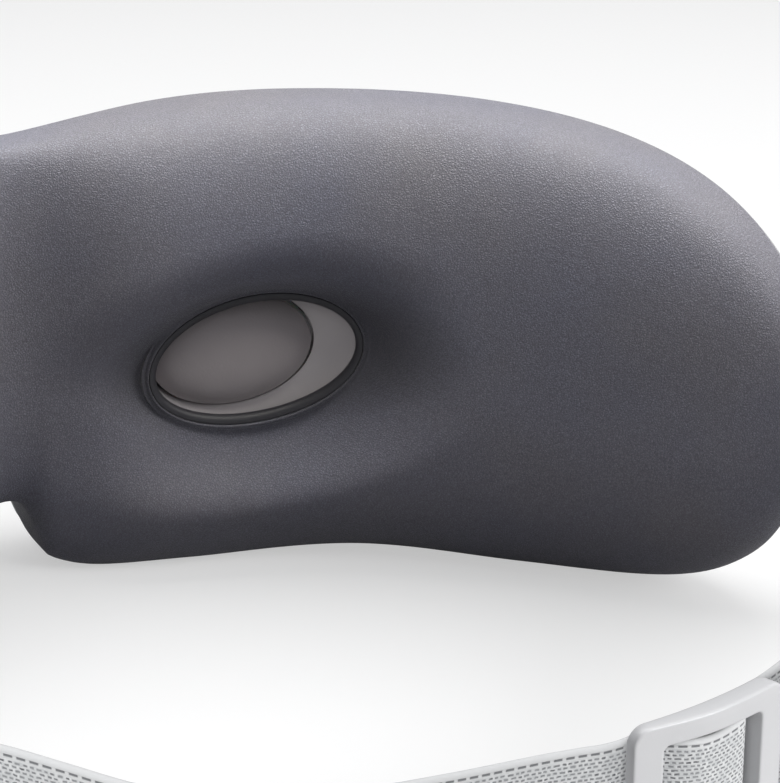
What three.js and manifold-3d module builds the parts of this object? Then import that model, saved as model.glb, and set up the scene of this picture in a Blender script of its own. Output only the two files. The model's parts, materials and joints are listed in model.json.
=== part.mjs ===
// Eye massager mask: a wrap-around padded mask that lies on the eyes, with an air pump that presses two
// warm pads on them, and an elastic head strap with a sliding buckle.
//
// Millimetres. +Z is up, the wearer's face is on the -Y side, the hard front looks towards +Y, and the mask
// stands on its lower edge as it does on a table. The origin is under the middle of the whole object.
//
// The mask is drawn flat and then bent. A place on it is (along, out, z): along is measured on the bent
// parting surface between housing and cushion, from the middle towards +X, out is the distance from that
// surface, positive towards the hard front and negative towards the face, and z is the height.

import * as THREE from 'three';
import { mergeVertices } from 'three/addons/utils/BufferGeometryUtils.js';
import Module from 'manifold-3d';

const wasm = await Module();
wasm.setup();

// ---------------------------------------------------------------- driving dimensions

// outline of the mask
const bendRadius = 100; // radius of the parting surface
const halfLength = 136; // middle to temple tip, along the bend
const tipHeight = 36; // height of the temple tips
const browRise = 39.5; // top edge above the tips
const browDip = 5; // dip of the top edge over the nose
const browDipWidth = 24.2;
const browFullness = 5.05; // how square the top outline is
const cheekFullness = 11.5; // how square the bottom outline is
const cheekLift = 1.2; // arch of the bottom edge under each eye
const cheekLiftAt = 58.8;
const cheekLiftHalfWidth = 28.5;
const noseHeight = 13.4; // nose notch
const noseHalfWidth = 5.3;
const noseFlare = 5.5; // how high its sides are where they turn into the flared foot
const noseFlareWidth = 8.5;
const standFlat = 0.35; // how much the lower edge is flattened where the mask stands

// depths to both sides of the parting surface
const frontDepth = 23; // hard front
const templeThinning = 13; // how much shallower the hard front is at the temples
const thinningStart = 60; // where that begins, along the bend
const cushionDepth = 18;
const bridgeRecess = 12; // the cushion is this much thinner over the nose
const bridgeHalfWidth = 15.2;
const wrapShare = 0.42; // how far the cushion reaches round the edge, as a share of the front's depth
const depthFullness = 5; // how late both depths run out towards the tips
const heightPower = 2.7; // superellipse powers of the cross-section
const cushionPower = 2.2;
const frontPower = 2.6;

// walls and clearances
const shellWall = 2;
const plateThickness = 2; // rear housing plate
const carrierThickness = 1.9; // plate that holds the cushion
const carrierInset = 1.5; // cushion lip round the carrier
const clearance = 0.3; // between pieces that touch
const runningClearance = 0.15; // round pins and screws

// eye openings
const eyeAlong = 41.6; // centre, along the bend
const eyeHeight = 35.8;
const eyeTilt = 0.164; // outer end higher, in radians
const eyeHalfLength = 17.7; // clear opening inside the rim
const eyeHalfHeight = 9;
const eyeHollowDepth = 7.6; // hollow of the cushion round the opening
const eyeHollowReach = 2.3; // outer size of the hollow, in opening sizes
const rimOverhang = 1.3; // how far the rim covers the cup's mouth
const rimProud = 0.7; // rim above the cushion there
const rimHeight = 1.4;
const rimRound = 0.45;
const cupWall = 1;
const cupFloor = 1.2;
const padHalfLength = 13.6;
const padHalfHeight = 8.9;
const padTowardsNose = 3.7; // offset of the pad from the middle of the opening
const padRaise = 0.6;
const padGap = 0.5; // between pad and cup
const padThickness = 1.2;
const padDome = 2.6;
const bladderThickness = 2;
const filmThickness = 0.4;

// power button in the middle of the front
const buttonRadius = 6.5;
const buttonProud = 0.9;
const buttonTravel = 0.6;
const buttonDepth = 4.6;
const ringWidth = 2;
const ringProud = 0.4;
const flangeThickness = 1.2;

// boards and drives inside the housing
const boardHeightInside = 12; // front side distance of the main board
const boardLength = 48;
const boardWidth = 34;
const boardThickness = 1.6;
const boardBottom = 27;
const switchHeight = 3.4;
const batteryLength = 40;
const batteryWidth = 30;
const batteryThickness = 6;
const batteryAlong = -82;
const pumpAlong = 60;
const pumpHeight = 44;
const pumpMotorRadius = 5.5;
const pumpMotorLength = 18;
const pumpHeadSize = 14;
const valveAlong = 34;
const valveSize = 8;
const valveBottom = 40;
const speakerRadius = 9;
const speakerAlong = -52;
const buzzerRadius = 4.5;
const buzzerAlong = 20;
const buzzerHeight = 65;
const tubeRadius = 1.6;
const spoutLength = 4;
const portAlong = 60;
const portOut = 13.5;
const portBottom = 7.2; // above the ground, behind the shell's wall
const portLength = 9;
const portWidth = 3.3;
const portHeight = 7.4;
const portWall = 0.4;

// screws
const screwRadius = 1.2;
const screwHeadRadius = 2.5;
const screwHeadHeight = 1.4;
const screwLength = 13;
const postRadius = 3.4;
const postHeight = 4.5;
const screwPlaces = [[31, 62], [84, 59], [84, 14]]; // along, z

// strap lugs on the temples
const pivotFromTip = 14; // of the temple, along the bend
const lugThickness = 2.4;
const lugDiscRadius = 8;
const lugReach = 25.3; // pivot to the far edge of the strap bar
const lugBar = 3.6;
const lugSlot = 3.8;
const lugRail = 3;
const lugCorner = 3;
const pivotBossProud = 7.4; // face of the boss beyond the parting surface
const pivotBossHeight = 4.2;
const pinHoleDepth = 3.2;
const pinRadius = 2.5;
const pinHeadRadius = 4.4;
const pinHeadHeight = 1.1;
const pinGrip = 0.5; // how far the pin's shank reaches into its head

// strap and buckle
const strapWidth = 30;
const strapThickness = 1.6;
const strapLap = 24; // sewn end behind each lug
const lapRelease = 4; // how far it stays parallel before it closes on the strap
const lapClosing = 11;
const backBendRadius = 70; // curve of the strap behind the head
const backBendX = 12.4;
const backBendReach = 146.8; // from the parting surface's middle to the strap's far side
const backBendFrom = -8; // degrees
const backBendTo = 33;
const buckleAngle = 7.7;
const buckleLength = 22.2;
const buckleBar = 3.9;
const buckleRail = 2.7;
const buckleThickness = 2.7;
const buckleCorner = 5;
const buckleCentreBar = 4;
const carrierHeight = 1.1; // lugs behind the rails that carry the centre bar

// ---------------------------------------------------------------- helpers

const { clamp, smoothstep, degToRad } = THREE.MathUtils;

/** Closed body from vertices and triangles, turned so that its faces point out. */
function closedBody(points, faces) {
  const geometry = new THREE.BufferGeometry();
  geometry.setAttribute('position', new THREE.Float32BufferAttribute(points.flatMap((p) => p.toArray()), 3));
  let volume = 0;
  for (const [a, b, c] of faces) {
    volume += points[a].dot(points[b].clone().cross(points[c]));
  }
  const outward = volume > 0 ? faces : faces.map(([a, b, c]) => [a, c, b]);
  geometry.setIndex(outward.flat());
  return geometry;
}

/** Skin over rings of points, each end closed by a fan or, where the ring row closes on itself, left open. */
function loft(rings, closesOnItself = false) {
  const count = rings[0].length;
  const points = rings.flat();
  const faces = [];
  const last = closesOnItself ? rings.length : rings.length - 1;
  for (let i = 0; i < last; i += 1) {
    const next = (i + 1) % rings.length;
    for (let j = 0; j < count; j += 1) {
      const k = (j + 1) % count;
      faces.push([i * count + j, next * count + j, next * count + k]);
      faces.push([i * count + j, next * count + k, i * count + k]);
    }
  }
  if (!closesOnItself) {
    for (const [ring, flip] of [[0, false], [rings.length - 1, true]]) {
      const centre = new THREE.Vector3();
      rings[ring].forEach((p) => centre.addScaledVector(p, 1 / count));
      const middle = points.push(centre) - 1;
      for (let j = 0; j < count; j += 1) {
        const a = ring * count + j;
        const b = ring * count + ((j + 1) % count);
        faces.push(flip ? [middle, b, a] : [middle, a, b]);
      }
    }
  }
  return closedBody(points, faces);
}

function toSolid(geometry) {
  const bare = geometry.clone();
  bare.deleteAttribute('normal');
  bare.deleteAttribute('uv');
  const merged = mergeVertices(bare, 1e-4);
  const mesh = new wasm.Mesh({
    numProp: 3,
    vertProperties: new Float32Array(merged.attributes.position.array),
    triVerts: new Uint32Array(merged.index.array),
  });
  return new wasm.Manifold(mesh);
}

function toGeometry(solid) {
  const mesh = solid.getMesh();
  const geometry = new THREE.BufferGeometry();
  geometry.setAttribute('position', new THREE.BufferAttribute(mesh.vertProperties, 3));
  geometry.setIndex(new THREE.BufferAttribute(mesh.triVerts, 1));
  return geometry;
}

const join = (...geometries) => toGeometry(geometries.map(toSolid).reduce((a, b) => a.add(b)));

const cut = (geometry, ...cutters) =>
  toGeometry(cutters.map(toSolid).reduce((a, b) => a.subtract(b), toSolid(geometry)));

/** Place on the mask as a point in space. */
function bend(along, out, z) {
  const angle = along / bendRadius;
  const radius = bendRadius + out;
  return new THREE.Vector3(radius * Math.sin(angle), radius * Math.cos(angle) - bendRadius, Math.max(z, 0));
}

/** Straight frame that touches the parting surface at one place along the mask: x along, y out, z up. */
function frameAt(along) {
  const matrix = new THREE.Matrix4().makeRotationZ(-along / bendRadius);
  return matrix.setPosition(bend(along, 0, 0));
}

const placed = (geometry, along) => geometry.applyMatrix4(frameAt(along));

function block(x0, x1, y0, y1, z0, z1) {
  const box = new THREE.BoxGeometry(x1 - x0, y1 - y0, z1 - z0);
  return box.translate((x0 + x1) / 2, (y0 + y1) / 2, (z0 + z1) / 2);
}

/** Rod along x, y or z from one coordinate to another, through (u, v) of the other two axes. */
function rod(axis, from, to, u, v, radius, facets = 16) {
  const cylinder = new THREE.CylinderGeometry(radius, radius, to - from, facets);
  const middle = (from + to) / 2;
  if (axis === 'x') return cylinder.rotateZ(Math.PI / 2).translate(middle, u, v);
  if (axis === 'y') return cylinder.translate(u, middle, v);
  return cylinder.rotateX(Math.PI / 2).translate(u, v, middle);
}

/** Body of revolution about the y axis through (x, z), its profile given as [radius, y] pairs. */
function turned(profile, x, z, facets) {
  const lathe = new THREE.LatheGeometry(profile.map(([radius, y]) => new THREE.Vector2(radius, y)), facets);
  lathe.deleteAttribute('normal');
  lathe.deleteAttribute('uv');
  const merged = mergeVertices(lathe, 1e-4);
  const position = merged.attributes.position;
  const points = [];
  for (let i = 0; i < position.count; i += 1) {
    points.push(new THREE.Vector3().fromBufferAttribute(position, i));
  }
  const faces = [];
  for (let i = 0; i < merged.index.count; i += 3) {
    const [a, b, c] = [0, 1, 2].map((k) => merged.index.getX(i + k));
    if (a !== b && b !== c && c !== a) faces.push([a, b, c]);
  }
  return closedBody(points, faces).translate(x, 0, z);
}

// ---------------------------------------------------------------- form of the mask

const hump = (t) => 0.5 * (1 + Math.cos(Math.PI * clamp(t, -1, 1)));
const taper = (along, fullness, length) => Math.sqrt(Math.max(1 - Math.abs(along / length) ** fullness, 0));

/** Middle height and half height of the mask's outline, drawn in by an inset. */
function outline(along, inset = 0, length = halfLength - inset) {
  const dip = browDip * Math.exp(-((along / browDipWidth) ** 2));
  const lift = cheekLift * hump((Math.abs(along) - cheekLiftAt) / cheekLiftHalfWidth);
  const flare = noseFlare * Math.exp(-((along / noseFlareWidth) ** 2));
  const notch = (noseHeight - noseFlare) * Math.exp(-(Math.abs(along / noseHalfWidth) ** 5)) + flare;
  const top = (browRise - dip - inset) * taper(along, browFullness, length);
  const bottom = (tipHeight + standFlat - lift - notch - inset) * taper(along, cheekFullness, length);
  return { middle: tipHeight + (top - bottom) / 2, half: Math.max((top + bottom) / 2, 0.05) };
}

function frontDepthAt(along, inset = 0) {
  const thinning = templeThinning * smoothstep(Math.abs(along), thinningStart, halfLength);
  return (frontDepth - thinning - inset) * taper(along, depthFullness, halfLength - inset);
}

function cushionDepthAt(along) {
  const recess = bridgeRecess * Math.exp(-((along / bridgeHalfWidth) ** 2));
  return (cushionDepth - recess) * taper(along, depthFullness, halfLength);
}

/** Distance from the middle of an eye opening, 1 on the clear opening's edge. */
function eyeDistance(along, z) {
  const x = Math.abs(along) - eyeAlong;
  const y = z - eyeHeight;
  const long = (x * Math.cos(eyeTilt) + y * Math.sin(eyeTilt)) / eyeHalfLength;
  const high = (y * Math.cos(eyeTilt) - x * Math.sin(eyeTilt)) / eyeHalfHeight;
  return Math.hypot(long, high);
}

const eyeHollow = (along, z) =>
  eyeHollowDepth * smoothstep(eyeHollowReach - eyeDistance(along, z), 0, eyeHollowReach - 1);

/** Places along the mask for its cross-sections, close together round the nose notch and at the tips. */
function stations(length) {
  const nearNose = 6;
  const beyond = 17;
  const edge = noseFlareWidth * 1.6;
  const half = [];
  for (let i = 1; i <= nearNose; i += 1) half.push((edge * i) / nearNose);
  for (let i = 1; i <= beyond; i += 1) {
    half.push(edge + (length * 0.9995 - edge) * Math.sin((Math.PI / 2) * (i / beyond)));
  }
  return [...half.map((u) => -u).reverse(), 0, ...half];
}

/** Curved side of one cross-section, from its bottom to its top, as [share of depth, z]. */
function curvedSide(along, inset, power, steps) {
  const { middle, half } = outline(along, inset);
  const angles = [];
  for (let i = 0; i <= steps; i += 1) {
    const share = (2 * i) / steps - 1;
    angles.push((Math.PI / 4) * (share + Math.sin((Math.PI / 2) * share))); // closer steps at both edges
  }
  // one more point where the curve leaves the ground, so that the stretch it stands on is flat
  const ground = -Math.asin(Math.min(middle / half, 1) ** (heightPower / 2));
  angles.splice(1, 0, clamp(ground, angles[0] * 0.99, (angles[0] + angles[1] * 3) / 4));
  return angles.map((angle) => {
    const height = Math.sign(Math.sin(angle)) * Math.abs(Math.sin(angle)) ** (2 / heightPower);
    return [Math.abs(Math.cos(angle)) ** (2 / power), middle + half * height];
  });
}

/** Body between a flat back at one distance and a curved side. */
function bowedBody({ inset, back, power, depthAt, steps }) {
  return loft(stations(halfLength - inset).map((along) => [
    ...curvedSide(along, inset, power, steps).map(([share, z]) =>
      bend(along, back + depthAt(along) * share, z)),
    ...acrossBack(along, inset, back),
  ]));
}

/** Points that close a section with a flat back, from its top to its bottom. */
function acrossBack(along, inset, out) {
  const { middle, half } = outline(along, inset);
  return [0.6, 0, -0.6].map((height) => bend(along, out, middle + half * height));
}

/** Plate of even thickness that follows the outline, and may end shorter of the tips. */
function outlinePlate(inset, from, to, shorter = 0) {
  const length = halfLength - inset - shorter;
  const rings = stations(length).map((along) => {
    const { middle, half } = outline(along, inset, length);
    const [low, high] = [middle - half, middle + half];
    return [bend(along, from, low), bend(along, to, low), bend(along, to, high), bend(along, from, high)];
  });
  return loft(rings);
}

// ---------------------------------------------------------------- eye openings and what sits in them

/** Place relative to the middle of an eye opening: long and high are measured along its axes. */
function eyePlace(side, long, high, out) {
  const along = eyeAlong + long * Math.cos(eyeTilt) - high * Math.sin(eyeTilt);
  return bend(side * along, out, eyeHeight + long * Math.sin(eyeTilt) + high * Math.cos(eyeTilt));
}

/** Body of ellipses round an eye's middle, each given as [half length, half height, out, shift, raise]. */
function eyeBody(side, profile, { closed = false, facets = 24 } = {}) {
  const rings = profile.map(([halfLong, halfHigh, out, shift = 0, raise = 0]) => {
    const ring = [];
    for (let i = 0; i < facets; i += 1) {
      const angle = (2 * Math.PI * i) / facets;
      ring.push(eyePlace(side, shift + halfLong * Math.cos(angle), raise + halfHigh * Math.sin(angle), out));
    }
    return ring;
  });
  return loft(rings, closed);
}

const nearMiddle = (out) => [tubeRadius + 1, tubeRadius + 1, out];

/** Ellipse of the clear opening, grown. */
const eyeSize = (grow, out) => [eyeHalfLength + grow, eyeHalfHeight + grow, out];

/** Ellipse of the pad, shrunk to a share and grown. */
const padSize = (share, out, grow = 0) =>
  [padHalfLength * share + grow, padHalfHeight * share + grow, out, -padTowardsNose, padRaise];

const eyeHoleGrow = rimOverhang + cupWall + clearance;

const eyeCutter = (side, from, to) => eyeBody(side, [eyeSize(eyeHoleGrow, from), eyeSize(eyeHoleGrow, to)]);

const seam = clearance / 2; // housing and cushion each stay this far from the parting surface
const rimTop = -(cushionDepth - eyeHollowDepth + rimProud);
const cupTop = rimTop + rimHeight + clearance;
const cupBottom = -seam;
const bladderBack = cupBottom - cupFloor - clearance;
const filmBack = bladderBack - bladderThickness - clearance;
const padBack = filmBack - filmThickness - clearance;

function eyeRim(side) {
  const outer = rimOverhang + cupWall;
  return eyeBody(side, [
    eyeSize(outer, rimTop + rimHeight),
    eyeSize(outer, rimTop + rimRound),
    eyeSize(outer - rimRound, rimTop),
    eyeSize(rimRound * 1.4, rimTop),
    eyeSize(rimRound * 0.4, rimTop + rimRound * 0.3),
    eyeSize(0, rimTop + rimRound),
    eyeSize(0, rimTop + rimHeight),
  ], { closed: true });
}

/** Bowl whose mouth is the opening and whose floor lies under the pad, nearer to the nose. */
function eyeCup(side) {
  const draft = 0.15; // the well under the pad narrows towards its floor
  const outer = rimOverhang + cupWall;
  const floor = cupBottom - cupFloor;
  const nozzleHole = rod('y', floor - 1, cupBottom + 1, 0, eyeHeight, tubeRadius + clearance, 12);
  const cup = eyeBody(side, [
    nearMiddle(cupBottom),
    padSize(0.6, cupBottom),
    padSize(1, cupBottom, padGap + cupWall),
    padSize(1, padBack + cupWall * 0.6, padGap + cupWall),
    eyeSize(outer, cupTop + cupWall),
    eyeSize(outer, cupTop),
    eyeSize(rimOverhang, cupTop),
    padSize(1, padBack, padGap),
    padSize(1, floor, padGap - draft),
    padSize(0.6, floor),
    nearMiddle(floor),
  ], { facets: 28 });
  return cut(cup, placed(nozzleHole, side * eyeAlong));
}

/** Bladder: a flat pillow with a nozzle that passes the cup's floor and the rear housing plate. */
function airBladder(side) {
  const half = bladderThickness / 2;
  const pillow = eyeBody(side, [
    padSize(0.2, bladderBack),
    padSize(0.8, bladderBack),
    padSize(0.96, bladderBack - half * 0.6),
    padSize(1, bladderBack - half),
    padSize(0.96, bladderBack - half * 1.4),
    padSize(0.8, bladderBack - bladderThickness),
    padSize(0.2, bladderBack - bladderThickness),
  ], { facets: 20 });
  const nozzle = rod('y', bladderBack - half, nozzleEnd, 0, eyeHeight, tubeRadius, 12);
  return join(pillow, placed(nozzle, side * eyeAlong));
}

const nozzleEnd = plateThickness + seam + 1;

function heatingFilm(side) {
  const front = filmBack - filmThickness;
  return eyeBody(side, [
    padSize(0.2, filmBack), padSize(0.85, filmBack), padSize(0.85, front), padSize(0.2, front),
  ], { facets: 20 });
}

function eyePad(side) {
  const size = (share, rise) => padSize(share, padBack - rise);
  return eyeBody(side, [
    size(0.2, 0),
    size(0.6, 0),
    size(0.94, 0),
    size(1, padThickness * 0.4),
    size(0.98, padThickness),
    size(0.86, padThickness + padDome * 0.45),
    size(0.64, padThickness + padDome * 0.78),
    size(0.34, padThickness + padDome * 0.96),
    size(0.1, padThickness + padDome),
  ]);
}

// ---------------------------------------------------------------- cushion and housing

const bothSides = [['left', -1], ['right', 1]];
const plateInset = shellWall + 1.3 * clearance;
const plateShortening = 4; // the housing is too shallow for the plate right at the tips
const plateFront = seam + plateThickness;

/** The front's curved side at one place, bottom to top, parted at the seam of cushion and hard front. */
function frontSide(along) {
  const side = curvedSide(along, 0, frontPower, 10);
  const depth = frontDepthAt(along);
  const first = side.findIndex(([share]) => share > wrapShare);
  const last = side.findLastIndex(([share]) => share > wrapShare);
  const seamHeight = (behind, before) => THREE.MathUtils.mapLinear(
    wrapShare, side[behind][0], side[before][0], side[behind][1], side[before][1]);
  const [low, high] = [seamHeight(first - 1, first), seamHeight(last + 1, last)];
  const points = (from, to) => side.slice(from, to).map(([share, z]) => bend(along, depth * share, z));
  const atSeam = (gap) => [low, high].map((z) => bend(along, depth * wrapShare + gap, z));
  return {
    lowStrip: [...points(1, first), atSeam(-seam)[0]],
    front: [atSeam(seam)[0], ...points(first, last + 1), atSeam(seam)[1]],
    highStrip: [atSeam(-seam)[1], ...points(last + 1, -1)],
  };
}

/** Padded body that reaches round the edge to the seam, with room for its carrier and the housing. */
function faceCushion() {
  const body = loft(stations(halfLength).map((along) => {
    const face = curvedSide(along, 0, cushionPower, 12).map(([share, z]) =>
      bend(along, (eyeHollow(along, z) - cushionDepthAt(along)) * share, z));
    const { lowStrip, highStrip } = frontSide(along);
    return [...face, ...highStrip.reverse(), ...lowStrip.reverse()];
  }));
  const pocket = outlinePlate(carrierInset - clearance, -seam - carrierThickness - clearance, clearance);
  const eyes = bothSides.map(([, side]) => eyeCutter(side, -cushionDepth - 5, 5));
  const bossRooms = bothSides.map(([, side]) => pivotBoss(side, clearance));
  return cut(body, pocket, shellSpace(0, 0), ...eyes, ...bossRooms);
}

function cushionCarrier() {
  const plate = outlinePlate(carrierInset, -seam - carrierThickness, -seam);
  return cut(plate, ...bothSides.map(([, side]) => eyeCutter(side, -10, 10)));
}

/** Distance of the shell's inner side at a place, for what stands on it. */
function insideDepthAt(along, z) {
  const { middle, half } = outline(along, shellWall);
  const height = Math.min(Math.abs(z - middle) / half, 1) ** (heightPower / 2);
  return frontDepthAt(along, shellWall) * Math.sqrt(1 - height ** 2) ** (2 / frontPower);
}

const buttonHeight = outline(0).middle;
const ringRadius = buttonRadius + clearance + ringWidth;
const ringFront = frontDepth + ringProud;
const pivotAt = bend(halfLength - pivotFromTip, 0, tipHeight);
const bossFace = pivotAt.x + pivotBossProud; // from the middle of the mask
const screwTip = seam + screwHeadHeight + screwLength;

function shellBoss(side, along, z) {
  const top = insideDepthAt(along, z) + shellWall / 5;
  const from = seam + plateThickness + postHeight + clearance;
  return placed(rod('y', from, top, 0, z, postRadius - 0.4, 12), side * along);
}

const screwHoles = () => bothSides.flatMap(([, side]) => screwPlaces.map(([along, z]) =>
  placed(rod('y', 0, screwTip + 0.5, 0, z, screwRadius + runningClearance, 10), side * along)));

function portHole() {
  const gap = clearance;
  const hole = block(
    -portLength / 2 - gap, portLength / 2 + gap,
    portOut - portWidth / 2 - gap, portOut + portWidth / 2 + gap, -5, portBottom + portHeight / 2,
  );
  return placed(hole, portAlong);
}

/** Boss in each temple end for the strap lug's pin, grown by a gap. */
function pivotBoss(side, gap = 0) {
  return sideRod(side, bossFace - pivotBossHeight - gap, bossFace, lugDiscRadius + gap, 24);
}

/** Rod along x through the lug pivots, between two distances from the middle of the mask. */
function sideRod(side, from, to, radius, facets) {
  const [low, high] = side > 0 ? [from, to] : [-to, -from];
  return rod('x', low, high, pivotAt.y, pivotAt.z, radius, facets);
}

function frontShell() {
  const outer = loft(stations(halfLength).map((along) => {
    const { front } = frontSide(along);
    const [low, high] = [front[0], front[front.length - 1]];
    return [...front, ...[0.3, 0.5, 0.7].map((share) => high.clone().lerp(low, share))];
  }));
  const bosses = bothSides.flatMap(([, side]) => screwPlaces.map(([along, z]) => shellBoss(side, along, z)));
  const pinHoles = bothSides.map(([, side]) =>
    sideRod(side, bossFace - pinHoleDepth, bossFace + 2, pinRadius + runningClearance, 16));
  const buttonHole = rod('y', 0, frontDepth + 5, 0, buttonHeight, ringRadius + clearance, 24);
  const walls = cut(outer, shellSpace(0, 0));
  const body = join(walls, ...bosses, ...bothSides.map(([, side]) => pivotBoss(side)));
  return cut(body, ...screwHoles(), ...pinHoles, buttonHole, portHole());
}

// seats of what is mounted on the rear housing plate, in the straight frame where each stands
const seatTop = { battery: 2.6, pump: 5, valve: 2.6, speaker: 7, buzzer: 3.4 };

/** Space inside the front shell, drawn in by a gap. */
function shellSpace(gap, back) {
  const inset = shellWall + gap;
  return bowedBody({
    inset,
    back,
    power: frontPower,
    depthAt: (along) => frontDepthAt(along, inset) - back,
    steps: 9,
  });
}

function rearHousing() {
  const plate = outlinePlate(plateInset, seam, plateFront, plateShortening);
  const posts = bothSides.flatMap(([, side]) => screwPlaces.map(([along, z]) =>
    placed(rod('y', seam + 0.5, plateFront + postHeight, 0, z, postRadius, 12), side * along)));
  const counterbores = bothSides.flatMap(([, side]) => screwPlaces.map(([along, z]) => {
    const depth = seam + screwHeadHeight + 0.2;
    return placed(rod('y', -3, depth, 0, z, screwHeadRadius + clearance, 12), side * along);
  }));
  const nozzles = bothSides.map(([, side]) =>
    placed(rod('y', -5, 5, 0, eyeHeight, tubeRadius + clearance, 12), side * eyeAlong));
  const body = join(plate, ...posts, ...boardPosts(), ...seats());
  const bossRooms = bothSides.map(([, side]) => pivotBoss(side, clearance));
  return cut(body, ...counterbores, ...screwHoles(), ...nozzles, ...bossRooms);
}

function boardPosts() {
  const x = boardLength / 2 - 3;
  const places = [[-x, 3], [x, 3], [-x, boardWidth - 3], [x, boardWidth - 3]];
  const foot = plateFront - 1 - x ** 2 / (2 * bendRadius);
  return places.map(([px, pz]) => rod('y', foot, boardHeightInside - clearance, px, boardBottom + pz, 2, 10));
}

function seats() {
  const rib = 1.4;
  const cell = batteryLength / 2 + clearance;
  const fall = cell ** 2 / (2 * bendRadius); // of the plate under the battery's ends
  const [low, high] = [batteryBottom + 4, batteryBottom + batteryWidth - 4];
  const battery = [
    block(-cell - rib, -cell, plateFront - 1 - fall, seatTop.battery + 4, low, high),
    block(cell, cell + rib, plateFront - 1 - fall, seatTop.battery + 4, low, high),
    block(-6, 6, plateFront - 1, seatTop.battery, low - 2, low - 2 + rib),
    block(-6, 6, plateFront - 1, seatTop.battery, high + 2 - rib, high + 2),
  ];
  const pump = [
    block(-11, -9, plateFront - 1.5, seatTop.pump, pumpHeight - 6, pumpHeight + 6),
    block(8, 10, plateFront - 1.5, seatTop.pump, pumpHeight - 6, pumpHeight + 6),
  ];
  const speaker = [rod('y', plateFront - 1, seatTop.speaker, 0, speakerHeight, speakerRadius - 2, 16)];
  const buzzer = (side) =>
    placed(rod('y', plateFront - 1, seatTop.buzzer, 0, buzzerHeight, 3, 10), side * buzzerAlong);
  return [
    ...battery.map((rib) => placed(rib, batteryAlong)),
    ...pump.map((rib) => placed(rib, pumpAlong)),
    ...speaker.map((rib) => placed(rib, speakerAlong)),
    placed(block(-3, 3, plateFront - 1, seatTop.valve, valveBottom + 1, valveBottom + 11), valveAlong),
    placed(rod('y', plateFront - 1, portBoardOut - clearance, 0, portBoardBottom + 7, 2, 10), portAlong),
    ...bothSides.map(([, side]) => buzzer(side)),
  ];
}

const batteryBottom = tipHeight - batteryWidth / 2;
const speakerHeight = 50;

// ---------------------------------------------------------------- inside the housing

function screw(side, along, z) {
  const head = seam + 0.1;
  return placed(turned([
    [0, head],
    [screwHeadRadius, head],
    [screwHeadRadius, head + screwHeadHeight],
    [screwRadius, head + screwHeadHeight],
    [screwRadius, screwTip - 1],
    [0, screwTip],
  ], 0, z, 10), side * along);
}

/** Main board with its controller and the key switch behind the power button. */
function mainBoard() {
  const back = boardHeightInside;
  const front = back + boardThickness;
  const half = boardLength / 2;
  const board = block(-half, half, back, front, boardBottom, boardBottom + boardWidth);
  const controller = block(-18, -8, front - 0.5, front + 1, boardBottom + 6, boardBottom + 16);
  const key = block(-3, 3, front - 0.5, front + switchHeight, buttonHeight - 3, buttonHeight + 3);
  const socket = block(12, 20, front - 0.5, front + 2.6, boardBottom + 22, boardBottom + 28);
  const corner = [-1, 1].map((side) =>
    block(side * half - 5, side * half + 5, back - 1, front + 1, boardBottom - 5, boardBottom + 1.2));
  return cut(join(board, controller, key, socket), ...corner);
}

function powerButton() {
  const front = frontDepth + buttonProud;
  const back = front - buttonDepth;
  return turned([
    [0, buttonStemEnd],
    [2, buttonStemEnd],
    [2, back - flangeThickness],
    [buttonRadius + 1.1, back - flangeThickness],
    [buttonRadius + 1.1, back],
    [buttonRadius, back],
    [buttonRadius, front - 0.5],
    [buttonRadius - 0.5, front],
    [0, front],
  ], 0, buttonHeight, 24);
}

const buttonStemEnd = boardHeightInside + boardThickness + switchHeight + buttonTravel + clearance;

function lightRing() {
  const inner = buttonRadius + clearance;
  const back = frontDepth + buttonProud - buttonDepth + clearance;
  return turned([
    [inner, back],
    [ringRadius, back],
    [ringRadius, ringFront - 0.3],
    [ringRadius - 0.3, ringFront],
    [inner, ringFront],
    [inner, back],
  ], 0, buttonHeight, 24);
}

function roundedCell(length, width, thickness, radius) {
  const shape = new THREE.Shape();
  const [x, y] = [length / 2, thickness / 2];
  shape.moveTo(-x + radius, -y);
  shape.lineTo(x - radius, -y);
  shape.absarc(x - radius, -y + radius, radius, -Math.PI / 2, 0);
  shape.absarc(x - radius, y - radius, radius, 0, Math.PI / 2);
  shape.absarc(-x + radius, y - radius, radius, Math.PI / 2, Math.PI);
  shape.absarc(-x + radius, -y + radius, radius, Math.PI, Math.PI * 1.5);
  return new THREE.ExtrudeGeometry(shape, { depth: width, bevelEnabled: false, curveSegments: 4 });
}

function battery() {
  const cell = roundedCell(batteryLength, batteryWidth, batteryThickness, 2);
  const out = seatTop.battery + clearance + batteryThickness / 2;
  return placed(cell.translate(0, out, batteryBottom), batteryAlong);
}

function pumpMotor() {
  const out = seatTop.pump + clearance + pumpMotorRadius;
  const can = rod('x', 0, pumpMotorLength, out, pumpHeight, pumpMotorRadius, 20);
  const cap = rod('x', pumpMotorLength - 1, pumpMotorLength + 1.5, out, pumpHeight, 2, 12);
  return placed(join(can, cap), pumpAlong);
}

function pumpHead() {
  const out = seatTop.pump + clearance;
  const half = pumpHeadSize / 2;
  const [bottom, top] = [pumpHeight - half, pumpHeight + half];
  const head = block(-pumpHeadSize, -clearance, out, out + 2 * pumpMotorRadius, bottom, top);
  const spout = rod('z', top - 1, top + spoutLength, -half, out + pumpMotorRadius, tubeRadius, 10);
  return placed(join(head, spout), pumpAlong);
}

function bleedValve() {
  const half = valveSize / 2;
  const from = seatTop.valve + clearance;
  const body = block(-half, half, from, from + valveSize, valveBottom, valveBottom + 12);
  const spout = rod('x', -half - spoutLength, -half + 1, from + half, valveBottom + half, tubeRadius, 10);
  return placed(join(body, spout), valveAlong);
}

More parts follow.
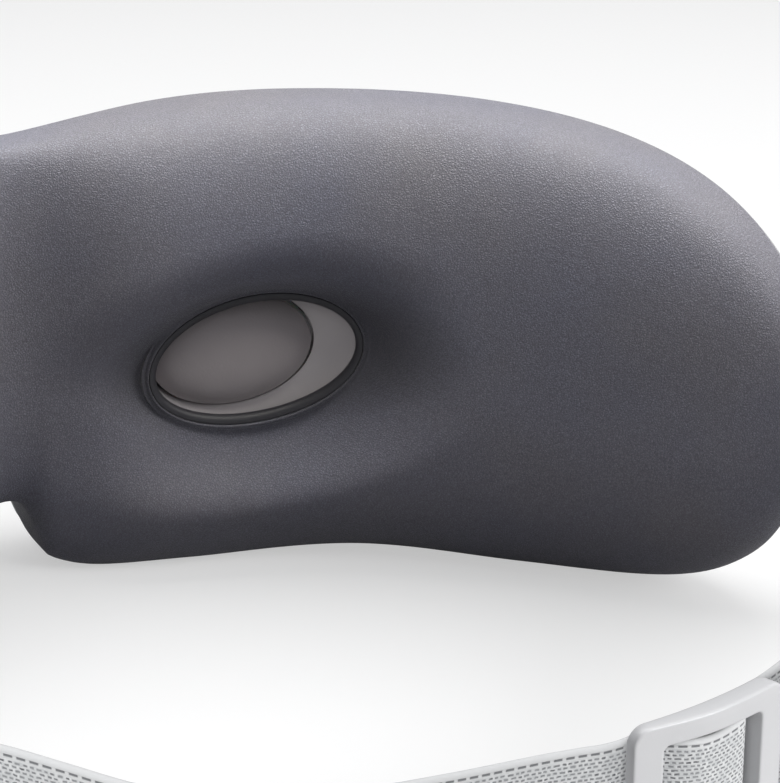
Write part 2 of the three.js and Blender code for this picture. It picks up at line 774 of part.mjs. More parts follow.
function speaker() {
  const back = seatTop.speaker + clearance;
  return placed(turned([
    [0, back],
    [speakerRadius * 0.75, back],
    [speakerRadius * 0.8, back + 2],
    [speakerRadius, back + 2.4],
    [speakerRadius, back + 4],
    [speakerRadius * 0.85, back + 4],
    [speakerRadius * 0.4, back + 2.8],
    [0, back + 3.4],
  ], 0, speakerHeight, 16), speakerAlong);
}

function vibrationMotor(side) {
  const back = seatTop.buzzer + clearance;
  return placed(rod('y', back, back + 3, 0, buzzerHeight, buzzerRadius, 16), side * buzzerAlong);
}

/** Silicone tube through places given as [along, out, z]. */
function airTube(...places) {
  const path = new THREE.CatmullRomCurve3(places.map(([along, out, z]) => bend(along, out, z)));
  const section = new THREE.Shape();
  section.absarc(0, 0, tubeRadius, 0, 2 * Math.PI);
  return new THREE.ExtrudeGeometry(section, {
    extrudePath: path, steps: 4 * places.length, curveSegments: 4, bevelEnabled: false,
  });
}

function airTubeRight() {
  const out = seatTop.pump + clearance + pumpMotorRadius;
  const spoutTop = pumpHeight + pumpHeadSize / 2 + spoutLength + clearance;
  const spoutAlong = pumpAlong - pumpHeadSize / 2 + clearance * 2;
  const rise = spoutTop - eyeHeight;
  return airTube(
    [eyeAlong, nozzleEnd + clearance, eyeHeight],
    [eyeAlong, nozzleEnd + tubeRadius, eyeHeight],
    [eyeAlong, (nozzleEnd + out) / 2 + tubeRadius, eyeHeight + rise * 0.2],
    [eyeAlong, out - tubeRadius, eyeHeight + rise * 0.7],
    [spoutAlong - tubeRadius * 3, out - tubeRadius / 2, spoutTop + tubeRadius * 4],
    [spoutAlong, out, spoutTop + tubeRadius * 3],
    [spoutAlong, out, spoutTop],
  );
}

function airTubeLeft() {
  const out = seatTop.valve + clearance + valveSize / 2;
  const z = valveBottom + valveSize / 2;
  const end = valveAlong - valveSize / 2 - spoutLength - 5 * clearance;
  return airTube(
    [-eyeAlong, nozzleEnd + clearance, eyeHeight],
    [-eyeAlong, nozzleEnd + tubeRadius, eyeHeight],
    [-eyeAlong + tubeRadius * 3, out, z - tubeRadius],
    [-eyeAlong * 0.65, out, z],
    [0, out, z],
    [end, out, z],
  );
}

const portBoardOut = portOut + portWidth / 2 + clearance;
const portBoardBottom = portBottom + portHeight + 0.5;

function chargingPort() {
  const top = portBottom + portHeight;
  const sleeve = (inset, from, to) => {
    const [x, y] = [portLength / 2 - inset, portWidth / 2 - inset];
    return block(-x, x, portOut - y, portOut + y, from, to);
  };
  const shell = sleeve(0, portBottom, top);
  const mouth = sleeve(portWall, portBottom - 1, top - 1);
  const tongue = sleeve(portWidth / 2 - portWall, portBottom + 1, top - 0.5);
  return placed(join(cut(shell, mouth), tongue), portAlong);
}

function chargingBoard() {
  const board = block(-7, 7, portBoardOut, portBoardOut + 1, portBoardBottom, portBoardBottom + 12);
  return placed(board, portAlong);
}

// ---------------------------------------------------------------- strap lugs

const lugInner = bossFace + clearance;
const lugOuter = lugInner + lugThickness;
const lugHalfHeight = strapWidth / 2 + clearance + lugRail;

/** Paddle that widens from its pivot to a frame with a slot for the strap. */
function strapLug(side) {
  const corner = lugCorner;
  const neck = lugReach - lugBar - lugSlot - lugRail;
  const paddle = new THREE.Shape();
  paddle.absarc(0, 0, lugDiscRadius, Math.PI / 2, Math.PI * 1.5);
  paddle.lineTo(neck - corner, -lugHalfHeight + corner * 0.4);
  paddle.quadraticCurveTo(neck - corner / 2, -lugHalfHeight, neck + corner / 2, -lugHalfHeight);
  paddle.lineTo(lugReach - corner, -lugHalfHeight);
  paddle.absarc(lugReach - corner, -lugHalfHeight + corner, corner, -Math.PI / 2, 0);
  paddle.absarc(lugReach - corner, lugHalfHeight - corner, corner, 0, Math.PI / 2);
  paddle.lineTo(neck + corner / 2, lugHalfHeight);
  paddle.quadraticCurveTo(neck - corner / 2, lugHalfHeight, neck - corner, lugHalfHeight - corner * 0.4);
  paddle.closePath();
  const slot = new THREE.Path();
  const slotEnd = lugReach - lugBar;
  const half = strapWidth / 2 + clearance;
  slot.moveTo(slotEnd, -half);
  slot.lineTo(slotEnd - lugSlot, -half);
  slot.lineTo(slotEnd - lugSlot, half);
  slot.lineTo(slotEnd, half);
  slot.closePath();
  const eye = new THREE.Path();
  eye.absarc(0, 0, pinRadius + runningClearance, 0, 2 * Math.PI);
  paddle.holes.push(slot, eye);
  const extrusion = { depth: lugThickness, bevelEnabled: false, curveSegments: 6 };
  const body = new THREE.ExtrudeGeometry(paddle, extrusion);
  const turn = new THREE.Matrix4().makeBasis(
    new THREE.Vector3(0, -1, 0), new THREE.Vector3(0, 0, 1), new THREE.Vector3(-1, 0, 0),
  );
  turn.setPosition(side > 0 ? lugOuter : -lugInner, pivotAt.y, pivotAt.z);
  return body.applyMatrix4(turn);
}

function pivotPin(side) {
  const headFrom = lugOuter + clearance;
  const shank = sideRod(side, bossFace - pinHoleDepth + clearance, headFrom + pinGrip, pinRadius, 16);
  const head = sideRod(side, headFrom, headFrom + pinHeadHeight, pinHeadRadius, 20);
  return join(shank, head);
}

// ---------------------------------------------------------------- strap and buckle

const backBendCentre = backBendRadius - backBendReach; // its y
const buckleHeight = strapWidth / 2 + clearance + buckleRail; // middle of the strap where the buckle stands

/** Place on the strap's bend behind the head, at an angle and a distance outside the strap's middle. */
function backPlace(angle, out, z) {
  const radius = backBendRadius + out;
  const [x, y] = [radius * Math.sin(angle), -radius * Math.cos(angle)];
  return new THREE.Vector3(backBendX + x, backBendCentre + y, z);
}

/** The same, measured along the strap from the buckle's middle. */
const bucklePlace = (s, out, z) => backPlace(degToRad(buckleAngle) + s / backBendRadius, out, z);

/** Flat band along a route: its points are the middle of the band, its width stands upright. */
function band(route, width, thickness) {
  const rings = route.map((point, i) => {
    const before = route[Math.max(i - 1, 0)];
    const after = route[Math.min(i + 1, route.length - 1)];
    const normal = new THREE.Vector3(before.y - after.y, after.x - before.x, 0).setLength(thickness / 2);
    return [[1, 1], [-1, 1], [-1, -1], [1, -1]].map(([n, z]) =>
      point.clone().addScaledVector(normal, n).add(new THREE.Vector3(0, 0, (z * width) / 2)));
  });
  return loft(rings);
}

const layerGap = lugThickness / 2 + clearance + strapThickness / 2; // strap's middle to the lug bar's middle
const lugBarAt = (lugInner + lugOuter) / 2;
const strapTurn = pivotAt.y - (lugReach - lugBar) - lugThickness / 4; // y of the turn round the lug bar

// how the slack strap runs from each lug to its bend, as shares of the way [sideways, back, down]
const leftRun = [
  [0, 0, 0], [0.002, 0.095, 0], [0.025, 0.242, 0.04], [0.103, 0.364, 0.12], [0.214, 0.442, 0.235],
  [0.335, 0.505, 0.355], [0.414, 0.581, 0.445], [0.474, 0.689, 0.5], [0.518, 0.782, 0.556],
  [0.563, 0.874, 0.62], [0.622, 0.94, 0.72], [0.7, 0.962, 0.83], [0.793, 0.958, 0.93], [0.9, 0.972, 0.98],
];
const rightRun = [
  [0, 0, 0], [0.004, 0.12, 0.01], [0.105, 0.29, 0.14], [0.28, 0.43, 0.36], [0.535, 0.62, 0.63],
  [0.79, 0.835, 0.87],
];

/** Run from the outer side of the left lug bar to the outer side of the right one. */
function strapRun() {
  const from = new THREE.Vector3(lugBarAt + layerGap, strapTurn, tipHeight);
  const partWay = (start, end, shares) => start.clone().add(
    end.clone().sub(start).multiply(new THREE.Vector3(...shares)));
  const bendStart = backPlace(degToRad(backBendFrom), 0, buckleHeight);
  const bendEnd = backPlace(degToRad(backBendTo), 0, buckleHeight);
  const points = leftRun.map((shares) => partWay(from.clone().setX(-from.x), bendStart, shares));
  for (let angle = backBendFrom; angle <= backBendTo; angle += 4) {
    points.push(backPlace(degToRad(angle), 0, buckleHeight));
  }
  points.push(...rightRun.map((shares) => partWay(from, bendEnd, shares)).reverse());
  return new THREE.CatmullRomCurve3(points, false, 'centripetal').getPoints(3 * points.length);
}

/** Turn of the strap round a lug bar and its end, which lies sewn against the inner side of the run. */
function strapEnd(run, side) {
  const steps = 7;
  const end = [];
  for (let i = 1; i < steps; i += 1) {
    const angle = (Math.PI * i) / steps;
    const x = side * (lugBarAt + layerGap * Math.cos(angle));
    end.push(new THREE.Vector3(x, strapTurn + layerGap * Math.sin(angle), tipHeight));
  }
  let travelled = 0;
  for (let i = 0; i < run.length - 1 && travelled < strapLap; i += 1) {
    const normal = new THREE.Vector3(run[i].y - run[i + 1].y, run[i + 1].x - run[i].x, 0).normalize();
    const closed = smoothstep(travelled, lapRelease, lapRelease + lapClosing);
    const apart = THREE.MathUtils.lerp(2 * layerGap, strapThickness + clearance, closed);
    end.push(run[i].clone().addScaledVector(normal, -side * apart));
    travelled += run[i].distanceTo(run[i + 1]);
  }
  return end;
}

function headStrap() {
  const run = strapRun();
  const left = strapEnd(run, -1);
  const right = strapEnd([...run].reverse(), 1);
  return band([...left.reverse(), ...run, ...right], strapWidth, strapThickness);
}

// distances outside the strap's middle, behind the head
const bightLow = strapThickness + clearance;
const centreBarFrom = strapThickness / 2 + clearance;
const centreBarTo = centreBarFrom + 2.2;
const bightHigh = centreBarTo + clearance + strapThickness / 2;
const buckleFrom = bightLow + strapThickness / 2 + clearance;
const centreBarAt = 0.4;

/** Turned end of the strap, which passes behind both side bars of the buckle and over its centre bar. */
function strapBight() {
  const half = buckleLength / 2 - 1;
  const window = buckleLength / 2 - buckleBar;
  const reach = buckleCentreBar / 2 + strapThickness * 0.75;
  const profile = [
    [2 - half, bightLow], [0.5 - window, bightLow], [centreBarAt - reach, bightHigh - 0.45],
    [centreBarAt - reach * 0.5, bightHigh], [centreBarAt + reach * 0.5, bightHigh],
    [centreBarAt + reach, bightHigh - 0.7], [window - 1.6, bightLow], [half, bightLow],
  ].map(([s, out]) => new THREE.Vector3(s, out, 0));
  const route = new THREE.CatmullRomCurve3(profile, false, 'centripetal').getPoints(24);
  return band(route.map(({ x, y }) => bucklePlace(x, y, buckleHeight)), strapWidth, strapThickness);
}

/** Points of a rectangle with round corners, as [s, z], with even steps along its sides. */
function roundedRectangle(halfLength, halfHeight, radius) {
  const arcSteps = 4;
  const sideSteps = 4;
  const corners = [[1, 1], [-1, 1], [-1, -1], [1, -1]];
  const points = [];
  corners.forEach(([sx, sz], i) => {
    const centre = [sx * (halfLength - radius), sz * (halfHeight - radius)];
    for (let k = 0; k <= arcSteps; k += 1) {
      const angle = (i + k / arcSteps) * (Math.PI / 2);
      points.push([centre[0] + radius * Math.cos(angle), centre[1] + radius * Math.sin(angle)]);
    }
    const [nx, nz] = corners[(i + 1) % 4];
    const angle = (i + 1) * (Math.PI / 2);
    const next = [nx * (halfLength - radius) + radius * Math.cos(angle),
      nz * (halfHeight - radius) + radius * Math.sin(angle)];
    const from = points[points.length - 1];
    for (let k = 1; k < sideSteps; k += 1) {
      points.push([0, 1].map((axis) => from[axis] + ((next[axis] - from[axis]) * k) / sideSteps));
    }
  });
  return points;
}

/** Curved tri-glide: a rounded frame with a centre bar that is carried behind its window. */
function buckle() {
  const to = buckleFrom + buckleThickness;
  const edge = 0.7;
  const outside = roundedRectangle(buckleLength / 2, buckleHeight, buckleCorner);
  const window = roundedRectangle(buckleLength / 2 - buckleBar, strapWidth / 2 + clearance, 1.5);
  const rings = outside.map(([s, z], i) => {
    const [ws, wz] = window[i];
    const between = (share) => [ws + (s - ws) * share, buckleHeight + wz + (z - wz) * share];
    const place = (share, out) => {
      const [ps, pz] = between(share);
      return bucklePlace(ps, out, pz);
    };
    return [
      place(0, buckleFrom), place(0, to - edge * 0.6), place(0.14, to), place(0.72, to),
      place(0.94, to - edge * 0.5), place(1, to - edge * 1.6), place(1, buckleFrom + edge * 0.5),
      place(0.9, buckleFrom),
    ];
  });
  const bar = (from, until, low, high) => {
    const section = [[-1, from], [-1, until - 0.7], [-0.7, until], [0.7, until], [1, until - 0.7], [1, from]];
    return loft([low, high].map((z) => section.map(([share, out]) =>
      bucklePlace(centreBarAt + (share * buckleCentreBar) / 2, out, buckleHeight + z))));
  };
  const rail = strapWidth / 2 + clearance;
  const frame = loft(rings, true);
  const carriers = [-1, 1].map((end) =>
    bar(centreBarFrom, to - 0.8, end * rail, end * (rail + carrierHeight)));
  return join(frame, bar(centreBarFrom, centreBarTo, -rail - 0.5, rail + 0.5), ...carriers);
}

// ---------------------------------------------------------------- assembly

const colours = {
  shell: { color: 0xd2d2d3, roughness: 0.42, metalness: 0 },
  leather: { color: 0x4b4a55, roughness: 0.5, metalness: 0 },
  rim: { color: 0x1c1c20, roughness: 0.18, metalness: 0 },
  cup: { color: 0x8a8486, roughness: 0.45, metalness: 0 },
  pad: { color: 0x6f6a6c, roughness: 0.6, metalness: 0 },
  inner: { color: 0x2c2d30, roughness: 0.6, metalness: 0 },
  board: { color: 0x1d5c3a, roughness: 0.5, metalness: 0.1 },
  steel: { color: 0xb9bcc0, roughness: 0.3, metalness: 0.9 },
  rubber: { color: 0xdedcd6, roughness: 0.6, metalness: 0 },
  strap: { color: 0xc3c5c8, roughness: 0.85, metalness: 0 },
  buckle: { color: 0xcbccce, roughness: 0.35, metalness: 0 },
  light: { color: 0xf2f4f6, roughness: 0.2, metalness: 0 },
  cell: { color: 0x5f7f9c, roughness: 0.4, metalness: 0.2 },
};

const mask = new THREE.Group();

function add(name, geometry, finish) {
  const mesh = new THREE.Mesh(geometry, new THREE.MeshStandardMaterial(colours[finish]));
  mesh.name = name;
  mask.add(mesh);
}

add('front_shell', frontShell(), 'shell');
add('rear_housing', rearHousing(), 'inner');
add('cushion_carrier', cushionCarrier(), 'inner');
add('face_cushion', faceCushion(), 'leather');
for (const [name, side] of bothSides) {
  add(`eye_rim_${name}`, eyeRim(side), 'rim');
  add(`eye_cup_${name}`, eyeCup(side), 'cup');
  add(`air_bladder_${name}`, airBladder(side), 'rubber');
  add(`heating_film_${name}`, heatingFilm(side), 'inner');
  add(`eye_pad_${name}`, eyePad(side), 'pad');
  add(`vibration_motor_${name}`, vibrationMotor(side), 'steel');
  add(`strap_lug_${name}`, strapLug(side), 'buckle');
  add(`pivot_pin_${name}`, pivotPin(side), 'buckle');
  screwPlaces.forEach(([along, z], i) => {
    add(`housing_screw_${name}_${i + 1}`, screw(side, along, z), 'steel');
  });
}
add('power_button', powerButton(), 'shell');
add('light_ring', lightRing(), 'light');
add('main_board', mainBoard(), 'board');
add('battery', battery(), 'cell');
add('pump_motor', pumpMotor(), 'steel');
add('pump_head', pumpHead(), 'inner');
add('bleed_valve', bleedValve(), 'inner');
add('speaker', speaker(), 'inner');
add('charging_port', chargingPort(), 'steel');
add('charging_board', chargingBoard(), 'board');
add('air_tube_left', airTubeLeft(), 'rubber');
add('air_tube_right', airTubeRight(), 'rubber');
add('head_strap', headStrap(), 'strap');
add('strap_bight', strapBight(), 'strap');
add('buckle', buckle(), 'buckle');

// the origin goes under the middle of the whole object
const extent = new THREE.Box3().setFromObject(mask, true);
mask.position.y = -(extent.min.y + extent.max.y) / 2;

export default mask;
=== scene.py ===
"""Dressed model of an eye massager mask, built round its CAD frame. Lengths are in millimetres."""
import json
import math

import bmesh
import bpy
import numpy as np
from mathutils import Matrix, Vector, noise


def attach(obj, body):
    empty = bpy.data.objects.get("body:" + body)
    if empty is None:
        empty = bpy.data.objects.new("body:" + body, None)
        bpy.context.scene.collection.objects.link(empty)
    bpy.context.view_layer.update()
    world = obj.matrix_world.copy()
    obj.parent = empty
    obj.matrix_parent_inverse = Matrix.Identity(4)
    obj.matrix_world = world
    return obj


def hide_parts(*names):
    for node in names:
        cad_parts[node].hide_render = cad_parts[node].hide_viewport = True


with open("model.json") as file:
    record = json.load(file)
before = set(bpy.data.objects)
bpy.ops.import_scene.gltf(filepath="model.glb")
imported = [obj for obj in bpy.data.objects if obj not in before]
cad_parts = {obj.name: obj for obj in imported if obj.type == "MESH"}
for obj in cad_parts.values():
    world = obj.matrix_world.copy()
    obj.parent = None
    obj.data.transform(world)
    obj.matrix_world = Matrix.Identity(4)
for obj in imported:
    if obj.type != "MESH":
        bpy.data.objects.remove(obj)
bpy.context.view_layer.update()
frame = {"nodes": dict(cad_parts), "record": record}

MM = 0.001
SHIFT = 64.2997  # from the middle of the whole object's box to the parting surface's middle

# outline of the mask, as in its CAD solids
BEND_RADIUS = 100
HALF_LENGTH = 136
TIP_HEIGHT = 36
BROW_RISE = 39.5
BROW_DIP = 5
BROW_DIP_WIDTH = 24.2
BROW_FULLNESS = 5.05
CHEEK_FULLNESS = 11.5
CHEEK_LIFT = 1.2
CHEEK_LIFT_AT = 58.8
CHEEK_LIFT_HALF_WIDTH = 28.5
NOSE_HEIGHT = 13.4
NOSE_HALF_WIDTH = 5.3
NOSE_FLARE = 5.5
NOSE_FLARE_WIDTH = 8.5
STAND_FLAT = 0.35
FRONT_DEPTH = 23
TEMPLE_THINNING = 13
THINNING_START = 60
CUSHION_DEPTH = 18
BRIDGE_RECESS = 12
BRIDGE_HALF_WIDTH = 15.2
WRAP_SHARE = 0.42  # how far the leather reaches round the edge, as a share of the front's depth
DEPTH_FULLNESS = 5
HEIGHT_POWER = 2.7
CUSHION_POWER = 2.2
BROW_POWER = 3.1  # the padding stands fuller above the eyes
FRONT_POWER = 2.6
SEAM = 0.15
SHELL_WALL = 2
CARRIER_BACK = 2.35  # the carrier's pocket in the cushion

# eye openings
EYE_ALONG = 41.6
EYE_HEIGHT = 35.8
EYE_TILT = 0.164
EYE_HALF_LENGTH = 17.7
EYE_HALF_HEIGHT = 9
HOLLOW_DEPTH = 7.6
HOLLOW_REACH = 2.45  # in half sizes of the eye opening, as are the next four
HOLLOW_RIM = 1.12
HOLLOW_CURVE = 2.3
ROLL_FROM = 1.3  # the roll over the cheek below each eye
ROLL_TO = 2.75
RIM_TOP = -11.1
RIM_SIDE = 2.3  # outer side of the rim and bowl, outside the clear opening
BOWL_TOP = -9.4
PAD_BACK = -4.65
PAD_HALF_LENGTH = 13.6
PAD_HALF_HEIGHT = 8.9
PAD_TOWARDS_NOSE = 3.7
PAD_RAISE = 0.6
PAD_GAP = 0.5
PAD_THICKNESS = 1.2
PAD_DOME = 3.2

# button and strap parts
BUTTON_RADIUS = 6.5
BUTTON_FRONT = 23.9
RING_RADIUS = 8.8
RING_FRONT = 23.4
PIVOT_ALONG = 122
BOSS_PROUD = 7.4
LUG_THICKNESS = 2.4
LUG_REACH = 25.3
LUG_BAR = 3.6
LUG_SLOT = 3.8
LUG_SLOT_CORNER = 0.8
LUG_RAIL = 3
LUG_CORNER = 3
LUG_DISC_RADIUS = 8
PIN_RADIUS = 2.5
PIN_FIT = 0.15
PIN_HEAD_RADIUS = 4.4
CLEARANCE = 0.3
STRAP_WIDTH = 30
STRAP_THICKNESS = 1.6
BAND_THICKNESS = 1.1  # pressed flat, without the room that the strap's solid leaves
STRAP_LAP = 24
LAP_RELEASE = 4
LAP_CLOSING = 11
BACK_RADIUS = 70
BACK_X = 12.4
BACK_REACH = 146.8
BACK_FROM = -8  # degrees, as are the next two
BACK_TO = 33
BUCKLE_ANGLE = 7.7
BUCKLE_LENGTH = 22.2
BUCKLE_BAR = 3.9
BUCKLE_RAIL = 2.7
BUCKLE_THICKNESS = 2.7
BUCKLE_CORNER = 2.2
BUCKLE_TAPER = 1.0
WINDOW_CORNER = 0.9
CENTRE_BAR = 4
CENTRE_BAR_AT = 0.4
CENTRE_BAR_THICKNESS = 2.2
CARRIER_HEIGHT = 1.1

# fineness of the leather's and the hard front's grids
LEATHER_SPACING = 0.95
LEATHER_FACE_ROWS = 117
LEATHER_WRAP_ROWS = 11
SHELL_SPACING = 1.15
SHELL_ROWS = 101
DOUBLE_POINTS = 0.02  # points nearer than this are one

# camera, and softboxes as [place, height they point at, size, power, colour], in metres and watts
CAMERA_PLACE = (-145.009, SHIFT - 355.355, 168.381)
CAMERA_AZIMUTH = 31.399
CAMERA_PITCH = 19.869
CAMERA_LENS = 118.94
SOFTBOXES = {
    "overhead": ((0.1, 0.3, 1.0), 0.03, (1.1, 0.8), 9, (1, 1, 1)),
    "front": ((0.75, -1.15, 0.6), 0.03, (0.8, 0.9), 20, (1, 1, 1)),
    "side": ((0.7, -0.6, 0.95), 0.03, (0.9, 0.9), 7.5, (1, 1, 1)),
    "top": ((0.1, -0.05, 1.1), 0.04, (1.2, 0.9), 25, (1, 0.985, 0.9)),
    "left": ((-0.8, -1.1, 0.5), 0.03, (0.8, 0.8), 14, (1, 1, 1)),
    "rear": ((-0.35, 1.25, 0.6), 0.03, (0.9, 0.9), 13, (1, 1, 1)),
}
WORLD_COLOUR = (0.95, 0.97, 1, 1)
WORLD_LIGHT = 0.24
WORLD_SEEN = 1.08  # the camera sees the world as bright as the far floor
FLOOR_REACH = 4

SIDES = (("left", -1), ("right", 1))


# ---- shader nodes

def opaque(value):
    return (*value, 1) if isinstance(value, tuple) else value


class Nodes:
    """Node tree with short ways to add nodes. A value is a number or the socket that feeds it."""

    def __init__(self, tree):
        self.tree = tree

    def add(self, kind, inputs=None, **settings):
        node = self.tree.nodes.new("ShaderNode" + kind)
        for name, value in settings.items():
            setattr(node, name, value)
        for name, value in (inputs or {}).items():
            if isinstance(value, bpy.types.NodeSocket):
                self.tree.links.new(value, node.inputs[name])
            else:
                node.inputs[name].default_value = value
        return node

    def math(self, operation, *values, clamp=False):
        return self.add("Math", dict(enumerate(values)), operation=operation, use_clamp=clamp).outputs[0]

    def plus(self, first, second):
        return self.math("ADD", first, second)

    def minus(self, first, second):
        return self.math("SUBTRACT", first, second)

    def times(self, first, second):
        return self.math("MULTIPLY", first, second)

    def vector(self, operation, *values, output=0):
        return self.add("VectorMath", dict(enumerate(values)), operation=operation).outputs[output]

    def between(self, value, low, high, to_low=0, to_high=1):
        limits = {"From Min": low, "From Max": high, "To Min": to_low, "To Max": to_high}
        return self.add("MapRange", {"Value": value, **limits}).outputs["Result"]

    def mix(self, share, first, second, way="MIX"):
        colours = {0: share, 6: opaque(first), 7: opaque(second)}
        return self.add("Mix", colours, data_type="RGBA", blend_type=way).outputs[2]

    def place(self):
        return self.add("TexCoord").outputs["Object"]

    def noise(self, place, scale, detail, **more):
        inputs = {"Vector": place, "Scale": scale, "Detail": detail, **more}
        return self.add("TexNoise", inputs).outputs["Fac"]

    def cells(self, place, scale, **settings):
        return self.add("TexVoronoi", {"Vector": place, "Scale": scale}, **settings).outputs["Distance"]

    def seen_by_camera(self):
        return self.add("LightPath").outputs["Is Camera Ray"]


class Effect(Nodes):
    """Node group with named inputs and outputs, built once and placed in materials with their own values."""

    def __init__(self, name, inputs, outputs):
        super().__init__(bpy.data.node_groups.new(name, "ShaderNodeTree"))
        for socket, value in inputs.items():
            made = self.tree.interface.new_socket(name=socket, in_out="INPUT", socket_type="NodeSocketFloat")
            made.default_value = value
        for socket in outputs:
            self.tree.interface.new_socket(name=socket, in_out="OUTPUT", socket_type="NodeSocketFloat")
        self.inputs = self.tree.nodes.new("NodeGroupInput").outputs
        self.end = self.tree.nodes.new("NodeGroupOutput")

    def scale(self):
        """Repeats per metre, from the Size input in millimetres."""
        return self.math("DIVIDE", 1000, self.inputs["Size"])

    def give(self, **outputs):
        for name, socket in outputs.items():
            self.tree.links.new(socket, self.end.inputs[name])
        return self.tree


def mottle_effect():
    """Slow change of tone over a moulded, painted or sewn surface."""
    effect = Effect("mottle", {"Size": 20, "Low": 0, "High": 1}, ["Tone"])
    clouds = effect.noise(effect.place(), effect.scale(), 3)
    return effect.give(Tone=effect.between(clouds, 0.3, 0.7, effect.inputs["Low"], effect.inputs["High"]))


def grain_effect():
    """Leather grain: small rounded pebbles with fine creases between them and a finer tooth on top."""
    effect = Effect("grain", {"Size": 0.6, "Tooth": 0.4}, ["Height", "Crease", "Speck"])
    place, scale, wander_reach = effect.place(), effect.scale(), 0.4 * MM
    wander = effect.add("TexNoise", {"Vector": place, "Scale": scale, "Detail": 2}).outputs["Color"]
    bent = effect.vector("ADD", place, effect.vector("MULTIPLY", wander, (wander_reach,) * 3))
    rounded = effect.between(effect.cells(bent, scale, feature="DISTANCE_TO_EDGE"), 0, 0.3)
    fine = effect.noise(place, effect.times(scale, 2.6), 2)
    return effect.give(Height=effect.plus(rounded, effect.times(fine, effect.inputs["Tooth"])),
                       Crease=effect.minus(1, rounded), Speck=effect.between(fine, 0.32, 0.68))


def mould_effect():
    """Spark-eroded finish of a plastics mould, with faint flow marks."""
    effect = Effect("mould_texture", {"Size": 0.25, "Flow": 0.3}, ["Height"])
    place, scale = effect.place(), effect.scale()
    sparks = effect.noise(place, scale, 2, Roughness=0.6)
    flow = effect.noise(place, effect.math("DIVIDE", scale, 60), 1, Distortion=1.5)
    return effect.give(Height=effect.plus(sparks, effect.times(flow, effect.inputs["Flow"])))


def wear_effect():
    """Where fingers and the table have rubbed: outward edges, broken up by a fine noise."""
    effect = Effect("handling_wear", {"Amount": 0.5}, ["Mask"])
    edge = effect.between(effect.add("NewGeometry").outputs["Pointiness"], 0.52, 0.6)
    broken = effect.times(edge, effect.between(effect.noise(effect.place(), 900, 3), 0.35, 0.65))
    return effect.give(Mask=effect.math("MULTIPLY", broken, effect.inputs["Amount"], clamp=True))


EFFECTS = {"mottle": mottle_effect(), "grain": grain_effect(), "mould": mould_effect(), "wear": wear_effect()}


# ---- finishes

class Finish(Nodes):
    """Material with one Principled shader. Plain values go straight on the shader's sockets."""

    def __init__(self, name, **plain):
        self.material = bpy.data.materials.new(name)
        self.material.use_nodes = True
        super().__init__(self.material.node_tree)
        self.sockets = self.tree.nodes["Principled BSDF"].inputs
        for socket, value in plain.items():
            self.sockets[socket.replace("_", " ")].default_value = opaque(value)

    def effect(self, name, **values):
        return self.add("Group", values, node_tree=EFFECTS[name]).outputs

    def surface(self, colour, rough, height, depth):
        """Gives the material its colour, its roughness and a bump of a depth in millimetres."""
        bump = self.add("Bump", {"Height": height, "Distance": depth * MM, "Strength": 1.0})
        self.tree.links.new(colour, self.sockets["Base Color"])
        self.tree.links.new(rough, self.sockets["Roughness"])
        self.tree.links.new(bump.outputs["Normal"], self.sockets["Normal"])
        return self.material


def leather_finish():
    cool, warm, crease_colour = (0.128, 0.13, 0.174), (0.145, 0.14, 0.165), (0.07, 0.066, 0.082)
    painted_shade_colour, shade_at, shade_reach = (0.038, 0.036, 0.044), (0.0365, 0, 0.0362), (0.0172, 1000, 0.0095)
    finish = Finish("leatherette", Specular_IOR_Level=0.5, Sheen_Weight=0.2, Sheen_Roughness=0.4,
                    Sheen_Tint=(1, 1, 0.98))
    grain = finish.effect("grain", Size=0.4, Tooth=0.9)
    speckled = finish.mix(grain["Speck"], (0.62, 0.62, 0.62), (1.38, 1.38, 1.38))
    dyed = finish.mix(finish.effect("mottle", Size=26)["Tone"], cool, warm)
    base = finish.mix(1.0, speckled, dyed, "MULTIPLY")
    creased = finish.mix(finish.times(grain["Crease"], 0.6), base, crease_colour)
    # painted shade: the leather's colour is darkened round both eye openings, in the hollows where shade
    # falls
    at_eye = finish.add("Mapping", {
        "Vector": finish.vector("ABSOLUTE", finish.place()), "Location": shade_at,
        "Rotation": (0, -EYE_TILT, 0), "Scale": shade_reach}, vector_type="TEXTURE").outputs[0]
    from_eye = finish.vector("LENGTH", at_eye, output="Value")
    painted_eye_shade = finish.mix(finish.between(from_eye, 1.0, 1.42, 0.72, 0), creased, painted_shade_colour)
    rubbed = finish.effect("mottle", Size=7, Low=0.46, High=0.56)["Tone"]
    rough = finish.plus(rubbed, finish.times(grain["Crease"], 0.12))
    return finish.surface(painted_eye_shade, rough, grain["Height"], 0.05)


def plastic_finish(name, colour, rough, size=0.25, depth=0.012, wear=0.35, spread=0.06, **plain):
    """Moulded plastic: slightly cloudy, with a spark-eroded surface and rubbed edges."""
    finish = Finish(name, **plain)
    darker = tuple(c * (1 - spread) for c in colour)
    paler = tuple(min(c * 1.12 + 0.02, 1) for c in colour)
    cloudy = finish.mix(finish.effect("mottle", Size=18)["Tone"], colour, darker)
    worn = finish.mix(finish.effect("wear", Amount=wear)["Mask"], cloudy, paler)
    smears = finish.effect("mottle", Size=9, Low=rough - 0.05, High=rough + 0.05)["Tone"]
    return finish.surface(worn, smears, finish.effect("mould", Size=size)["Height"], depth)


